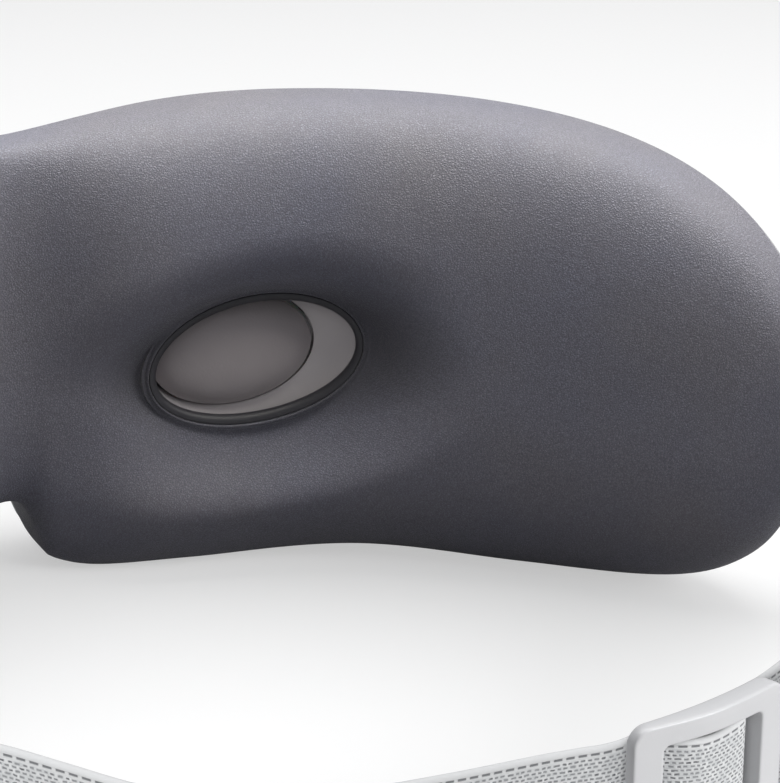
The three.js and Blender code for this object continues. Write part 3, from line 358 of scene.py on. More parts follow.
def strap_finish():
    """Woven elastic. U runs along the strap and V across it, both in millimetres."""
    row_pitch, dash_pitch, stitch_pitch = 0.48, 0.82, 1.5
    weave_to, stitch_at = 13.9, 14.2  # from the strap's middle
    light_yarn, dark_yarn, selvedge, gap_colour = (
        (0.72, 0.725, 0.73), (0.56, 0.57, 0.58), (0.66, 0.665, 0.67), (0.075, 0.08, 0.09))
    finish = Finish("woven_elastic", Sheen_Weight=0.2, Sheen_Roughness=0.5, Specular_IOR_Level=0.3)
    plus, minus, times, between = finish.plus, finish.minus, finish.times, finish.between
    cloth = finish.add("UVMap", uv_map="cloth").outputs[0]
    along, across = finish.add("SeparateXYZ", {0: cloth}).outputs[:2]

    def part_of(value, pitch):
        """Which repeat a place lies in, and how far it lies from the middle of it."""
        repeat = finish.math("DIVIDE", value, pitch)
        number = finish.math("FLOOR", repeat)
        return number, finish.math("ABSOLUTE", minus(minus(repeat, number), 0.5))

    def row_noise(stretch, step):
        """Noise that changes slowly along a row of the weave and at once from row to row."""
        place = finish.add("CombineXYZ", {"X": times(along, stretch), "Y": times(row, step)}).outputs[0]
        return finish.noise(place, 1, 2)

    ripple = finish.noise(cloth, 1.3, 1)
    row, from_row = part_of(plus(across, times(ripple, 0.26)), row_pitch)
    stagger = times(finish.math("FLOORED_MODULO", row, 2), dash_pitch / 2)
    _, from_dash = part_of(plus(along, plus(stagger, times(row_noise(0.55, 5.3), 1.1))), dash_pitch)
    from_middle = finish.math("ABSOLUTE", across)
    in_weave = between(from_middle, weave_to - 0.1, weave_to, 1, 0)
    gap = times(times(between(from_row, 0.12, 0.36, 1, 0), between(from_dash, 0.22, 0.38, 1, 0)), in_weave)
    _, from_stitch = part_of(along, stitch_pitch)
    from_line = finish.math("ABSOLUTE", minus(from_middle, stitch_at))
    stitch = times(between(from_stitch, 0.3, 0.38, 1, 0), between(from_line, 0.1, 0.2, 1, 0))
    tone = row_noise(0.9, 3.7)
    yarn = finish.mix(in_weave, selvedge, finish.mix(between(tone, 0.35, 0.65), light_yarn, dark_yarn))
    dark = finish.math("MAXIMUM", times(gap, between(tone, 0.3, 0.6, 0.95, 0.55)), times(stitch, 0.8))
    crown = times(times(from_row, from_row), -0.8)
    return finish.surface(finish.mix(dark, yarn, gap_colour), between(tone, 0.3, 0.7, 0.72, 0.85),
                          minus(times(crown, in_weave), dark), 0.1)


def metal_finish(name, colour, rough):
    finish = Finish(name, Metallic=1.0)
    brushed = finish.add("Mapping", {"Vector": finish.place(), "Scale": (300, 300, 9000)}).outputs[0]
    lines = finish.noise(brushed, 1, 3)
    return finish.surface(finish.mix(lines, colour, tuple(c * 0.8 for c in colour)),
                          finish.between(lines, 0.3, 0.7, rough - 0.06, rough + 0.08), lines, 0.004)


def board_finish():
    """Solder-masked board with copper runs under the lacquer and small tinned pads."""
    finish = Finish("circuit_board", Coat_Weight=0.4, Coat_Roughness=0.2)
    place = finish.place()
    runs = finish.between(finish.cells(place, 420, distance="CHEBYCHEV"), 0.3, 0.34)
    pads = finish.between(finish.cells(place, 700), 0.16, 0.2, 1, 0)
    green = finish.mix(runs, (0.012, 0.11, 0.05), (0.02, 0.17, 0.075))
    return finish.surface(finish.mix(pads, green, (0.6, 0.6, 0.58)), finish.between(runs, 0, 1, 0.35, 0.45),
                          finish.plus(runs, pads), 0.03)


def thread_finish():
    finish = Finish("sewing_thread", Sheen_Weight=0.3)
    ply = finish.add("TexWave", {"Vector": finish.place(), "Scale": 700, "Distortion": 1},
                     bands_direction="DIAGONAL").outputs["Fac"]
    return finish.surface(finish.mix(ply, (0.4, 0.41, 0.42), (0.66, 0.67, 0.68)),
                          finish.between(ply, 0, 1, 0.6, 0.8), ply, 0.05)


def floor_finish():
    """White table whose brightness is partly painted light: a glow that only the camera sees, dimmer a little
    way off the mask than beside it and brightest far from it.
    """
    finish = Finish("painted_light_table", Specular_IOR_Level=0.1, Emission_Color=(1, 1, 1))
    place = finish.place()
    fibres, tone = finish.noise(place, 900, 3), finish.noise(place, 1.5, 1)
    # painted light: this glow lights nothing and stands in for the studio's fall of light over the table
    away = finish.vector("LENGTH", place, output="Value")
    glow = finish.plus(finish.between(away, 0.15, 0.55, 0.5, 0.37), finish.between(away, 0.6, 3, 0, 0.55))
    finish.tree.links.new(finish.times(finish.seen_by_camera(), glow), finish.sockets["Emission Strength"])
    return finish.surface(finish.mix(tone, (0.49, 0.49, 0.49), (0.505, 0.503, 0.5)),
                          finish.between(fibres, 0.3, 0.7, 0.5, 0.6), fibres, 0.01)


FINISHES = {
    "leatherette": leather_finish(),
    "shell": plastic_finish("moulded_shell", (0.66, 0.66, 0.666), 0.36, size=0.3, depth=0.01, wear=0.2,
                            Coat_Weight=0.15, Coat_Roughness=0.25),
    "inner_plastic": plastic_finish("dark_inner_plastic", (0.035, 0.036, 0.04), 0.55, depth=0.02),
    "eye_rim": plastic_finish("dark_rim", (0.028, 0.027, 0.033), 0.5, size=0.3, depth=0.008, wear=0.1),
    "eye_cup": plastic_finish("bowl_plastic", (0.185, 0.173, 0.178), 0.45, size=0.3, depth=0.01, wear=0.1),
    "pad": plastic_finish("soft_pad_skin", (0.34, 0.306, 0.318), 0.62, size=0.4, depth=0.03, wear=0.12,
                          spread=0.14, Sheen_Weight=0.35, Sheen_Roughness=0.5),
    "silicone": plastic_finish("milky_silicone", (0.7, 0.69, 0.66), 0.5, Subsurface_Weight=0.3,
                               Subsurface_Scale=0.002),
    "film": plastic_finish("amber_film", (0.5, 0.24, 0.06), 0.3, depth=0.004),
    "button": plastic_finish("button_plastic", (0.68, 0.68, 0.69), 0.3, size=0.3, depth=0.006, wear=0.4,
                             Coat_Weight=0.3, Coat_Roughness=0.12),
    "light_guide": plastic_finish("milky_light_guide", (0.78, 0.79, 0.8), 0.22, depth=0.003,
                                  Subsurface_Weight=0.5, Subsurface_Scale=0.003),
    "circuit_board": board_finish(),
    "cell_wrap": plastic_finish("cell_wrap", (0.16, 0.27, 0.4), 0.28, size=0.8, depth=0.04),
    "steel": metal_finish("brushed_steel", (0.6, 0.61, 0.63), 0.32),
    "speaker_black": plastic_finish("speaker_cone", (0.03, 0.03, 0.03), 0.75, size=0.5, depth=0.05),
    "strap": strap_finish(),
    "buckle": plastic_finish("buckle_plastic", (0.62, 0.62, 0.632), 0.34, size=0.3, depth=0.008, wear=0.25,
                             Coat_Weight=0.2, Coat_Roughness=0.2),
    "thread": thread_finish(),
}


# ---- camera, floor and lights

def aim(thing, place, target):
    """Adds a camera or lamp to the scene, so that it looks from a place at a point."""
    bpy.context.scene.collection.objects.link(thing)
    thing.location = place
    thing.rotation_euler = (Vector(target) - Vector(place)).to_track_quat("-Z", "Y").to_euler()


def add_camera():
    camera = bpy.data.cameras.new("camera")
    camera.lens = CAMERA_LENS
    camera.sensor_width = 36
    camera.clip_end = 100
    thing = bpy.data.objects.new("camera", camera)
    azimuth, pitch = math.radians(CAMERA_AZIMUTH), math.radians(CAMERA_PITCH)
    place = Vector(CAMERA_PLACE) * MM
    level = math.cos(pitch)
    forward = Vector((math.sin(azimuth) * level, math.cos(azimuth) * level, -math.sin(pitch)))
    aim(thing, place, place + forward)
    bpy.context.scene.camera = thing


def add_softbox(name, place, target_height, size, power, colour):
    lamp = bpy.data.lights.new(name, "AREA")
    lamp.shape = "RECTANGLE"
    lamp.size, lamp.size_y = size
    lamp.energy = power
    lamp.color = colour
    thing = bpy.data.objects.new(name, lamp)
    aim(thing, place, (0, 0, target_height))
    return thing


def add_world():
    world = bpy.data.worlds.new("studio")
    bpy.context.scene.world = world
    world.use_nodes = True
    nodes = Nodes(world.node_tree)
    backdrop = nodes.tree.nodes["Background"].inputs
    backdrop["Color"].default_value = WORLD_COLOUR
    strength = nodes.between(nodes.seen_by_camera(), 0, 1, WORLD_LIGHT, WORLD_SEEN)
    nodes.tree.links.new(strength, backdrop["Strength"])
    bpy.context.scene.view_settings.view_transform = "Standard"


def add_floor():
    mesh = bpy.data.meshes.new("studio_floor")
    corners = [(x * FLOOR_REACH, y * FLOOR_REACH, 0) for x, y in ((-1, -1), (1, -1), (1, 1), (-1, 1))]
    mesh.from_pydata(corners, [], [(0, 1, 2, 3)])
    mesh.materials.append(floor_finish())
    floor = bpy.data.objects.new("studio_floor", mesh)
    floor.location.z = -0.05 * MM
    bpy.context.scene.collection.objects.link(floor)


def flag_lamp(lamp, state, things):
    """Flags beside a lamp: its light misses some things (EXCLUDE) or reaches no others (INCLUDE)."""
    group = bpy.data.collections.new(lamp.name + "_group")
    for thing in things:
        group.objects.link(thing)
    for entry in group.collection_objects:
        entry.light_linking.link_state = state
    lamp.light_linking.receiver_collection = group


# ---- forms of the mask

def hump(t):
    return 0.5 * (1 + np.cos(np.pi * np.clip(t, -1, 1)))


def ease(x, low, high):
    t = np.clip((x - low) / (high - low), 0, 1)
    return t * t * (3 - 2 * t)


def taper(along, fullness, length=HALF_LENGTH):
    return np.sqrt(np.maximum(1 - np.abs(along / length) ** fullness, 0))


def bell(along, width, power=2):
    return np.exp(-(np.abs(along / width) ** power))


def outline(along, inset=0):
    """Middle height and half height of the mask's outline, drawn in by an inset."""
    length = HALF_LENGTH - inset
    dip = BROW_DIP * bell(along, BROW_DIP_WIDTH)
    lift = CHEEK_LIFT * hump((np.abs(along) - CHEEK_LIFT_AT) / CHEEK_LIFT_HALF_WIDTH)
    flare = NOSE_FLARE * bell(along, NOSE_FLARE_WIDTH)
    notch = (NOSE_HEIGHT - NOSE_FLARE) * bell(along, NOSE_HALF_WIDTH, 5) + flare
    top = (BROW_RISE - dip - inset) * taper(along, BROW_FULLNESS, length)
    bottom = (TIP_HEIGHT + STAND_FLAT - lift - notch - inset) * taper(along, CHEEK_FULLNESS, length)
    return TIP_HEIGHT + (top - bottom) / 2, np.maximum((top + bottom) / 2, 0.02)


def front_depth(along, inset=0):
    thinning = TEMPLE_THINNING * ease(np.abs(along), THINNING_START, HALF_LENGTH)
    return (FRONT_DEPTH - thinning - inset) * taper(along, DEPTH_FULLNESS, HALF_LENGTH - inset)


def cushion_depth(along):
    return (CUSHION_DEPTH - BRIDGE_RECESS * bell(along, BRIDGE_HALF_WIDTH)) * taper(along, DEPTH_FULLNESS)


def on_mask(along, out, z):
    """Place on the bent mask as points: along the bend, outwards from the parting surface, up."""
    along, out, z = np.broadcast_arrays(along, out, z)
    angle, radius = along / BEND_RADIUS, BEND_RADIUS + out
    points = [radius * np.sin(angle), radius * np.cos(angle) - BEND_RADIUS + SHIFT, np.maximum(z, 0)]
    return np.stack(points, -1)


def eye_local(along, z, side=None):
    """Long and high distance from the middle of an eye opening, the nearer one where no side is given."""
    x = (np.abs(along) if side is None else side * along) - EYE_ALONG
    y = z - EYE_HEIGHT
    return x * math.cos(EYE_TILT) + y * math.sin(EYE_TILT), y * math.cos(EYE_TILT) - x * math.sin(EYE_TILT)


def eye_places(side, long, high):
    """The other way round: along and z of a place in the eye's own directions."""
    along = side * (EYE_ALONG + long * math.cos(EYE_TILT) - high * math.sin(EYE_TILT))
    return along, EYE_HEIGHT + long * math.sin(EYE_TILT) + high * math.cos(EYE_TILT)


def cushion_out(along, z):
    """Distance of the cushion's face from the parting surface at a place, below zero."""
    middle, half = outline(along)
    height = np.clip(np.abs(z - middle) / half, 0, 1)
    power = np.where(z > middle, BROW_POWER, CUSHION_POWER)
    share = np.sqrt(1 - height ** HEIGHT_POWER) ** (2 / power)
    long, high = eye_local(along, z)
    distance = np.hypot(long / EYE_HALF_LENGTH, high / EYE_HALF_HEIGHT)
    down = np.clip(-high / (EYE_HALF_HEIGHT * np.maximum(distance, 0.1)), 0, 1) ** 2
    brow = np.clip((HOLLOW_REACH - distance) / (HOLLOW_REACH - HOLLOW_RIM), 0, 1) ** HOLLOW_CURVE
    cheek = ease(ROLL_TO - distance, 0, ROLL_TO - ROLL_FROM)
    return (HOLLOW_DEPTH * (brow * (1 - down) + cheek * down) - cushion_depth(along)) * share


# ---- making meshes

def bridge(first, second):
    """Faces between two rings of point numbers."""
    return list(zip(first, [*first[1:], first[0]], [*second[1:], second[0]], second))


def ring_body(rings, closed=False):
    """Points and faces of a skin over rings, with flat ends unless the rings close on themselves."""
    rings = np.asarray(rings, float)
    count, size = rings.shape[:2]
    numbers = np.arange(count * size).reshape(count, size).tolist()
    faces = [] if closed else [tuple(numbers[0]), tuple(numbers[-1])]
    for first, second in zip(numbers, numbers[1:] + numbers[:1] * closed):
        faces += bridge(first, second)
    return rings.reshape(-1, 3), faces


class Shape:
    """Points and faces of a piece that is built up bit by bit."""

    def __init__(self):
        self.points, self.faces, self.count = [], [], 0

    def add(self, points, faces=()):
        """Adds points and the faces between them, and gives the points' numbers in the piece."""
        points = np.reshape(points, (-1, 3))
        numbers = range(self.count, self.count + len(points))
        self.points.append(points)
        self.faces += [tuple(numbers[k] for k in face) for face in faces]
        self.count += len(points)
        return numbers

    def add_skins(self, front, back, gone):
        """Adds the same grid twice, as a front and a back skin, without the cells that are gone."""
        columns = gone.shape[1] + 1
        first_corners = (np.argwhere(~gone) @ (columns, 1)).tolist()
        faces = [(a, a + columns, a + columns + 1, a + 1) for a in first_corners]
        for skin in (front, back):
            self.add(skin, faces)

    def add_wall(self, border, rings):
        """Adds rings from a border of the front skin round to the same border of the back skin."""
        across = [len(self.points[0]) + k for k in border]
        for ring in rings:
            now = self.add(ring)
            self.faces += bridge(border, now)
            border = now
        self.faces += bridge(border, across)

    def made(self):
        return np.concatenate(self.points), self.faces


def finish_mesh(mesh, sharp=None, joined=False):
    """Turns faces outwards and shades them smooth. joined first closes up loose and doubled points."""
    work = bmesh.new()
    work.from_mesh(mesh)
    if joined:
        bmesh.ops.delete(work, geom=[v for v in work.verts if not v.link_faces], context="VERTS")
        bmesh.ops.remove_doubles(work, verts=work.verts, dist=DOUBLE_POINTS * MM)
    bmesh.ops.recalc_face_normals(work, faces=work.faces)
    work.to_mesh(mesh)
    work.free()
    mesh.polygons.foreach_set("use_smooth", [True] * len(mesh.polygons))
    if sharp:
        mesh.set_sharp_from_angle(angle=math.radians(sharp))


def make_piece(name, shape, slot, body, replaces=(), sharp=40, cloth=None, finish=None):
    """Mesh piece from points and faces. cloth gives each point's place on the cloth."""
    points, faces = shape
    mesh = bpy.data.meshes.new(name)
    mesh.from_pydata((np.asarray(points) * MM).tolist(), [], [tuple(int(i) for i in f) for f in faces])
    if cloth is not None:
        layer = mesh.uv_layers.new(name="cloth")
        corners = np.zeros(len(mesh.loops), np.int32)
        mesh.loops.foreach_get("vertex_index", corners)
        layer.data.foreach_set("uv", np.asarray(cloth, np.float32).reshape(-1, 2)[corners].ravel())
    mesh.validate()
    finish_mesh(mesh, sharp)
    mesh.materials.append(FINISHES[finish or slot])
    thing = bpy.data.objects.new(name, mesh)
    bpy.context.scene.collection.objects.link(thing)
    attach(thing, body)
    if replaces:
        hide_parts(*replaces)
    return thing


def turned(profile, centre, axis, steps=96, closed=False):
    """Body of revolution about an axis through a centre. Its profile is [radius, distance along the axis]."""
    angle = np.linspace(0, 2 * np.pi, steps, endpoint=False)
    others = [k for k in range(3) if k != axis]
    rings = np.zeros((len(profile), steps, 3))
    for ring, (radius, distance) in zip(rings, profile):
        ring[:, others] = np.stack([radius * np.cos(angle), radius * np.sin(angle)], -1)
        ring[:, axis] = distance
    return ring_body(rings + np.asarray(centre), closed)


def even_places(t, points, count):
    """Parameter values that split a sampled curve into even steps."""
    steps = np.linalg.norm(np.diff(points, axis=0), axis=1)
    travelled = np.concatenate([[0], np.cumsum(steps)])
    return np.interp(np.linspace(0, travelled[-1], count), travelled, t)


def mask_stations(spacing):
    """Places along the mask for its cross-sections, evenly spaced over its face and round its ends."""
    along = HALF_LENGTH * 0.9998 * np.sin(np.pi / 2 * np.linspace(-1, 1, 4001))
    line = np.stack([along, outline(along)[1] * 0.7, cushion_depth(along) * 0.7], -1)
    length = np.linalg.norm(np.diff(line, axis=0), axis=1).sum()
    return even_places(along, line, int(length / spacing) | 1)


def section_height(angle):
    """Height on a cross-section as a share of its half height."""
    return np.sign(np.sin(angle)) * np.abs(np.sin(angle)) ** (2 / HEIGHT_POWER)


def section_angles(count, power, depth, half, last=np.pi / 2):
    """Angles that split a cross-section into even steps, from its bottom up."""
    angle = np.linspace(-last, last, 801)
    line = np.stack([depth * np.abs(np.cos(angle)) ** (2 / power), half * section_height(angle)], -1)
    return even_places(angle, line, count)


def corners_of(cells):
    """Marks the points of a grid that are corners of marked cells."""
    marked = np.zeros(np.add(cells.shape, 1), bool)
    for rows in (slice(0, -1), slice(1, None)):
        for columns in (slice(0, -1), slice(1, None)):
            marked[rows, columns] |= cells
    return marked


def trace_hole(inside):
    """Splits a grid's cells at a hole: the cells that go, and the points on the hole's edge."""
    gone = inside[:-1, :-1] | inside[1:, :-1] | inside[1:, 1:] | inside[:-1, 1:]
    return gone, corners_of(gone) & corners_of(~gone)


def round_loop(edge, angles):
    """Point numbers of a hole's edge in turn round it, and their angles."""
    order = np.argsort(angles[edge])
    return np.flatnonzero(edge)[order].tolist(), angles[edge][order]


def grid_border(rows, columns):
    """Point numbers round the border of a grid."""
    grid = np.arange(rows * columns).reshape(rows, columns)
    return np.concatenate([grid[0], grid[1:, -1], grid[-1, -2::-1], grid[-2:0:-1, 0]]).tolist()


def seam_rings(grid, border, steps, drawn=0):
    """Rings beside the seam, from steps of [inset, level]. drawn is the share of an inset that ends lose."""
    along, out, z = (values.ravel()[border] for values in grid)
    middle, half = outline(along)
    inward = np.clip((middle - z) / np.maximum(half, 0.1), -1, 1)
    rings = []
    for inset, level in steps:
        shift = inward * np.minimum(inset, half)
        rings.append(on_mask(along * (1 - inset * drawn / HALF_LENGTH), out + level, z + shift))
    return rings


# ---- leather cushion

HOLE_GROW = 3.4  # where the cushion's even grid gives way to rings round the rim
HOLE_LENGTH, HOLE_HEIGHT = EYE_HALF_LENGTH + HOLE_GROW, EYE_HALF_HEIGHT + HOLE_GROW
CUSHION_WALL = 1.7
# lip that is tucked into the seam, as [inset, level]
TUCK = ((0.25, 0.1), (0.6, 0.12), (1.2, 0.1))
# leather rolled over the rim and into the opening, as [outside the opening, proud, share of the face's depth]
ROLLED = ((3.1, 0.03, 1.0), (2.8, 0.08, 0.93), (2.5, 0.14, 0.78), (2.25, 0.19, 0.56), (2.02, 0.21, 0.33),
          (1.82, 0.2, 0.15), (1.66, 0.15, 0.05), (1.53, 0.06, 0), (1.45, -0.06, 0), (1.42, -0.25, 0),
          (1.42, -0.5, 0), (2.6, -0.52, 0))


def soft_dents(points, amount):
    """Moves points of padding a little in and out, as foam under leather does."""
    moved = points.copy()
    for k, p in enumerate(points):
        slow = noise.noise(Vector(p) / 17) + 0.5 * noise.noise(Vector(p) / 7 + Vector((9, 4, 2)))
        moved[k, 1] += amount * slow
    return moved


def cushion_grid(stations):
    """The leather's even grid from seam to seam, as along, out and z, and which points are on the face."""
    wrap, rows = LEATHER_WRAP_ROWS, LEATHER_FACE_ROWS + 2 * LEATHER_WRAP_ROWS
    middle, half = outline(stations)
    depth, front = cushion_depth(stations), front_depth(stations)
    along = np.repeat(stations[None, :], rows, 0)
    out, z = np.zeros((2, *along.shape))
    for j in range(len(stations)):
        angle = section_angles(LEATHER_FACE_ROWS, CUSHION_POWER, max(depth[j], 0.5), half[j])
        z[wrap:-wrap, j] = middle[j] + half[j] * section_height(angle)
    share = np.linspace(0, WRAP_SHARE, wrap + 1)[1:, None]
    wrapped = np.maximum(front * share - SEAM * (share / WRAP_SHARE), 0)
    sink = 0.45 * np.clip(1 - (wrapped[-1] - wrapped) / 1.3, 0, 1) ** 2
    height = (1 - share ** FRONT_POWER) ** (1 / HEIGHT_POWER)
    reached = np.maximum(half * height - np.minimum(sink, half * 0.2), 0.01)
    z[:wrap], z[-wrap:] = (middle - reached)[::-1], middle + reached
    out[:wrap], out[-wrap:] = wrapped[::-1], wrapped
    on_face = np.zeros(along.shape, bool)
    on_face[wrap:-wrap] = True
    return along, out, z, on_face


def leather_cushion():
    """Padded leather from the seam under the mask, over the face side, to the seam above it."""
    stations = mask_stations(LEATHER_SPACING)
    middle, half = outline(stations)
    along, out, z, on_face = cushion_grid(stations)

    def from_eye(side):
        long, high = eye_local(along, z, side)
        return long, high, np.hypot(long / HOLE_LENGTH, high / HOLE_HEIGHT)

    eyes = {side: from_eye(side) for _, side in SIDES}
    gone, edge = trace_hole(on_face & (np.minimum(eyes[-1][2], eyes[1][2]) < 1))
    loops = {}
    for side, (long, high, distance) in eyes.items():
        mine = edge & (distance < 1.6)
        new_along, new_z = eye_places(side, long / distance, high / distance)
        along[mine], z[mine] = new_along[mine], new_z[mine]
        loops[side] = round_loop(mine, np.arctan2(high / HOLE_HEIGHT, long / HOLE_LENGTH))
    out[on_face] = np.minimum(cushion_out(along, z), 0)[on_face]
    front = soft_dents(on_mask(along, out, z).reshape(-1, 3), 0.12)
    front[:, 2] = np.maximum(front[:, 2], 0)
    back_z = np.clip(z, middle - half + CUSHION_WALL, middle + half - CUSHION_WALL)
    back_z = np.where(half < CUSHION_WALL, middle, back_z)
    back = on_mask(along, np.where(on_face, -CARRIER_BACK, out), back_z).reshape(-1, 3)
    back[:, 1] = np.where(np.abs(along.ravel()) > HALF_LENGTH - 2, front[:, 1], back[:, 1])
    shape = Shape()
    shape.add_skins(front, back, gone)
    border = grid_border(*along.shape)
    shape.add_wall(border, seam_rings((along, out, z), border, TUCK, 0.3))
    for side, (loop, angles) in loops.items():
        rings = []
        for grow, proud, share in ROLLED:
            long, high, *_ = eye_size(grow, 0)
            ring_along, ring_z = eye_places(side, long * np.cos(angles), high * np.sin(angles))
            face = cushion_out(ring_along, ring_z)
            level = face * share + (RIM_TOP - proud) * (1 - share) - (proud * share)
            rings.append(on_mask(ring_along, level, ring_z))
        shape.add_wall(loop, rings)
    cushion = make_piece("leather_cushion", shape.made(), "leatherette", "mask", ["face_cushion"], sharp=60)
    finish_mesh(cushion.data, joined=True)
    return cushion


# ---- eyes

def eye_body(side, profile, closed=False, steps=120):
    """Skin over rings round an eye. The profile is [half length, half height, out, shift along, shift up]."""
    angles = np.linspace(0, 2 * np.pi, steps, endpoint=False)
    rings = []
    for long, high, out, shift, rise in profile:
        along, z = eye_places(side, shift + long * np.cos(angles), rise + high * np.sin(angles))
        rings.append(on_mask(along, np.full(steps, out), z))
    return ring_body(rings, closed)


def eye_size(grow, out):
    return EYE_HALF_LENGTH + grow, EYE_HALF_HEIGHT + grow, out, 0, 0


def pad_size(share, out, grow=0):
    return PAD_HALF_LENGTH * share + grow, PAD_HALF_HEIGHT * share + grow, out, -PAD_TOWARDS_NOSE, PAD_RAISE


def eye_rim(name, side):
    profile = [(0, -9.7), (0, -10.15), (0.05, -10.4), (0.15, -10.6), (0.3, -10.77), (0.5, -10.9),
               (0.74, -10.99), (0.98, -11.03), (1.18, -11.04), (1.3, -11.0), (1.37, -10.88), (1.38, -10.5),
               (RIM_SIDE, -10.43), (RIM_SIDE, -9.7)]
    rings = [eye_size(grow, out) for grow, out in profile]
    return make_piece(f"eye_ring_{name}", eye_body(side, rings, True), "eye_rim", "mask", [f"eye_rim_{name}"])


def eye_bowl(name, side):
    draft, bottom, floor = 0.15, -0.15, -1.35
    mouth, shoulder = eye_size(1.3, BOWL_TOP), pad_size(1, PAD_BACK, PAD_GAP)
    slope = []
    for t in np.linspace(0, 1, 14)[1:-1]:
        mixed = [a + (b - a) * t for a, b in zip(mouth, shoulder)]
        mixed[2] += 0.5 * math.sin(math.pi * t)
        slope.append(tuple(mixed))
    profile = [
        pad_size(0.2, bottom), pad_size(0.6, bottom), pad_size(1, bottom, PAD_GAP + 1),
        pad_size(1, PAD_BACK + 0.6, PAD_GAP + 1), eye_size(RIM_SIDE, BOWL_TOP + 1),
        eye_size(RIM_SIDE, BOWL_TOP), mouth, *slope, shoulder, pad_size(1, PAD_BACK + 0.3, PAD_GAP - 0.02),
        pad_size(1, floor, PAD_GAP - draft), pad_size(0.6, floor), pad_size(0.2, floor)]
    return make_piece(f"eye_bowl_{name}", eye_body(side, profile), "eye_cup", "mask", [f"eye_cup_{name}"])


def eye_pad(name, side):
    """Soft domed pad with a rolled edge."""
    edge = 0.7
    profile = [pad_size(0.1, PAD_BACK), pad_size(0.6, PAD_BACK), pad_size(0.93, PAD_BACK),
               pad_size(0.975, PAD_BACK - 0.12), pad_size(0.996, PAD_BACK - 0.4)]
    for t in np.linspace(0, 1, 26)[:-1]:
        share = math.cos(math.pi / 2 * t) ** 0.8
        rise = math.sin(math.pi / 2 * t) ** 1.25
        profile.append(pad_size(share, PAD_BACK - edge - (PAD_THICKNESS - edge + PAD_DOME) * rise))
    node = f"eye_pad_{name}"
    pad = make_piece(f"massage_pad_{name}", eye_body(side, profile), "pad", node, [node], sharp=80)
    return pad


# ---- hard front

BUTTON_HEIGHT = float(outline(np.array([0.0]))[0][0])
BUTTON_HOLE = RING_RADIUS + CLEARANCE
SHELL_EDGE_ROUND = 0.2
# rounded edges at the seam, as [inset, level], and round the button, as [outside the hole, drop]
SHELL_LIP = ((0.06, -0.1), (0.2, -0.17), (0.5, -0.2))
HOLE_LIP = ((0.5, 0.01), (0.22, 0.09), (0.06, 0.25), (0, 0.5))


def shell_grid(inset):
    """Points of one skin of the hard front, as [along, out, z] grids."""
    stations = mask_stations(SHELL_SPACING) * (HALF_LENGTH - inset) / HALF_LENGTH
    middle, half = outline(stations, inset)
    depth = front_depth(stations, inset)
    seam = WRAP_SHARE * front_depth(stations) + SEAM + SHELL_EDGE_ROUND
    along = np.repeat(stations[None, :], SHELL_ROWS, 0)
    out, z = np.zeros((2, *along.shape))
    for j in range(len(stations)):
        last = math.acos(min(seam[j] / max(depth[j], 0.5), 0.98) ** (FRONT_POWER / 2))
        angle = section_angles(SHELL_ROWS, FRONT_POWER, max(depth[j], 0.5), half[j], last)
        z[:, j] = middle[j] + half[j] * section_height(angle)
        out[:, j] = max(depth[j], seam[j]) * np.abs(np.cos(angle)) ** (2 / FRONT_POWER)
    return along, out, z


def front_shell():
    skins = [shell_grid(inset) for inset in (0, SHELL_WALL)]
    along, out, z = skins[0]
    across, up = (BEND_RADIUS + out) * np.sin(along / BEND_RADIUS), z - BUTTON_HEIGHT
    front_middle = (np.abs(along) < 30) & (out > 15)
    hole = BUTTON_HOLE + 0.8
    gone, edge = trace_hole(front_middle & (np.hypot(across, up) < hole))
    angles = np.arctan2(up, across)
    for (along, out, z), radius in zip(skins, (hole, BUTTON_HOLE)):
        along[edge] = BEND_RADIUS * np.arcsin(radius * np.cos(angles[edge]) / (BEND_RADIUS + out[edge]))
        z[edge] = BUTTON_HEIGHT + radius * np.sin(angles[edge])
    loop, turn = round_loop(edge, angles)
    front, back = (on_mask(*grid).reshape(-1, 3) for grid in skins)
    shape = Shape()
    shape.add_skins(front, back, gone)
    border = grid_border(*edge.shape)
    shape.add_wall(border, seam_rings(skins[0], border, SHELL_LIP))
    rings = []
    for wider, drop in HOLE_LIP:
        x, up = (BUTTON_HOLE + wider) * np.cos(turn), (BUTTON_HOLE + wider) * np.sin(turn)
        rings.append(np.stack([x, front[loop, 1] - drop, BUTTON_HEIGHT + up], -1))
    shape.add_wall(loop, rings)
    shell = make_piece("front_cover", shape.made(), "shell", "mask", ["front_shell"], sharp=35)
    finish_mesh(shell.data, 35, joined=True)
    return shell


def button_parts():
    centre, steps = (0, SHIFT, BUTTON_HEIGHT), 128
    inner, outer, top, back = BUTTON_RADIUS + CLEARANCE, RING_RADIUS, RING_FRONT, 19
    edge = [(inner, back), (inner, top - 0.2), (inner + 0.08, top - 0.05), (inner + 0.3, top),
            (outer - 0.5, top), (outer - 0.15, top - 0.12), (outer, top - 0.4), (outer, back)]
    ring = turned(edge, centre, 1, steps, closed=True)
    side, front, back, dish_side, dish_depth = BUTTON_RADIUS, BUTTON_FRONT, 18.6, 5.6, 0.3
    profile = [(0.3, back), (side - 0.2, back), (side, back + 0.2), (side, front - 0.55),
               (side - 0.08, front - 0.3), (side - 0.3, front - 0.1), (side - 0.6, front - 0.01)]
    profile += [(r, front - 0.02 - dish_depth * (1 - (r / dish_side) ** 2))
                for r in (dish_side, 5.0, 4.2, 3.2, 2.2, 1.2, 0.3)]
    cap = turned(profile, centre, 1, steps)
    return (make_piece("lamp_ring", ring, "light_guide", "mask", ["light_ring"]),
            make_piece("button_cap", cap, "button", "power_button", ["power_button"], sharp=50))


# ---- strap lugs

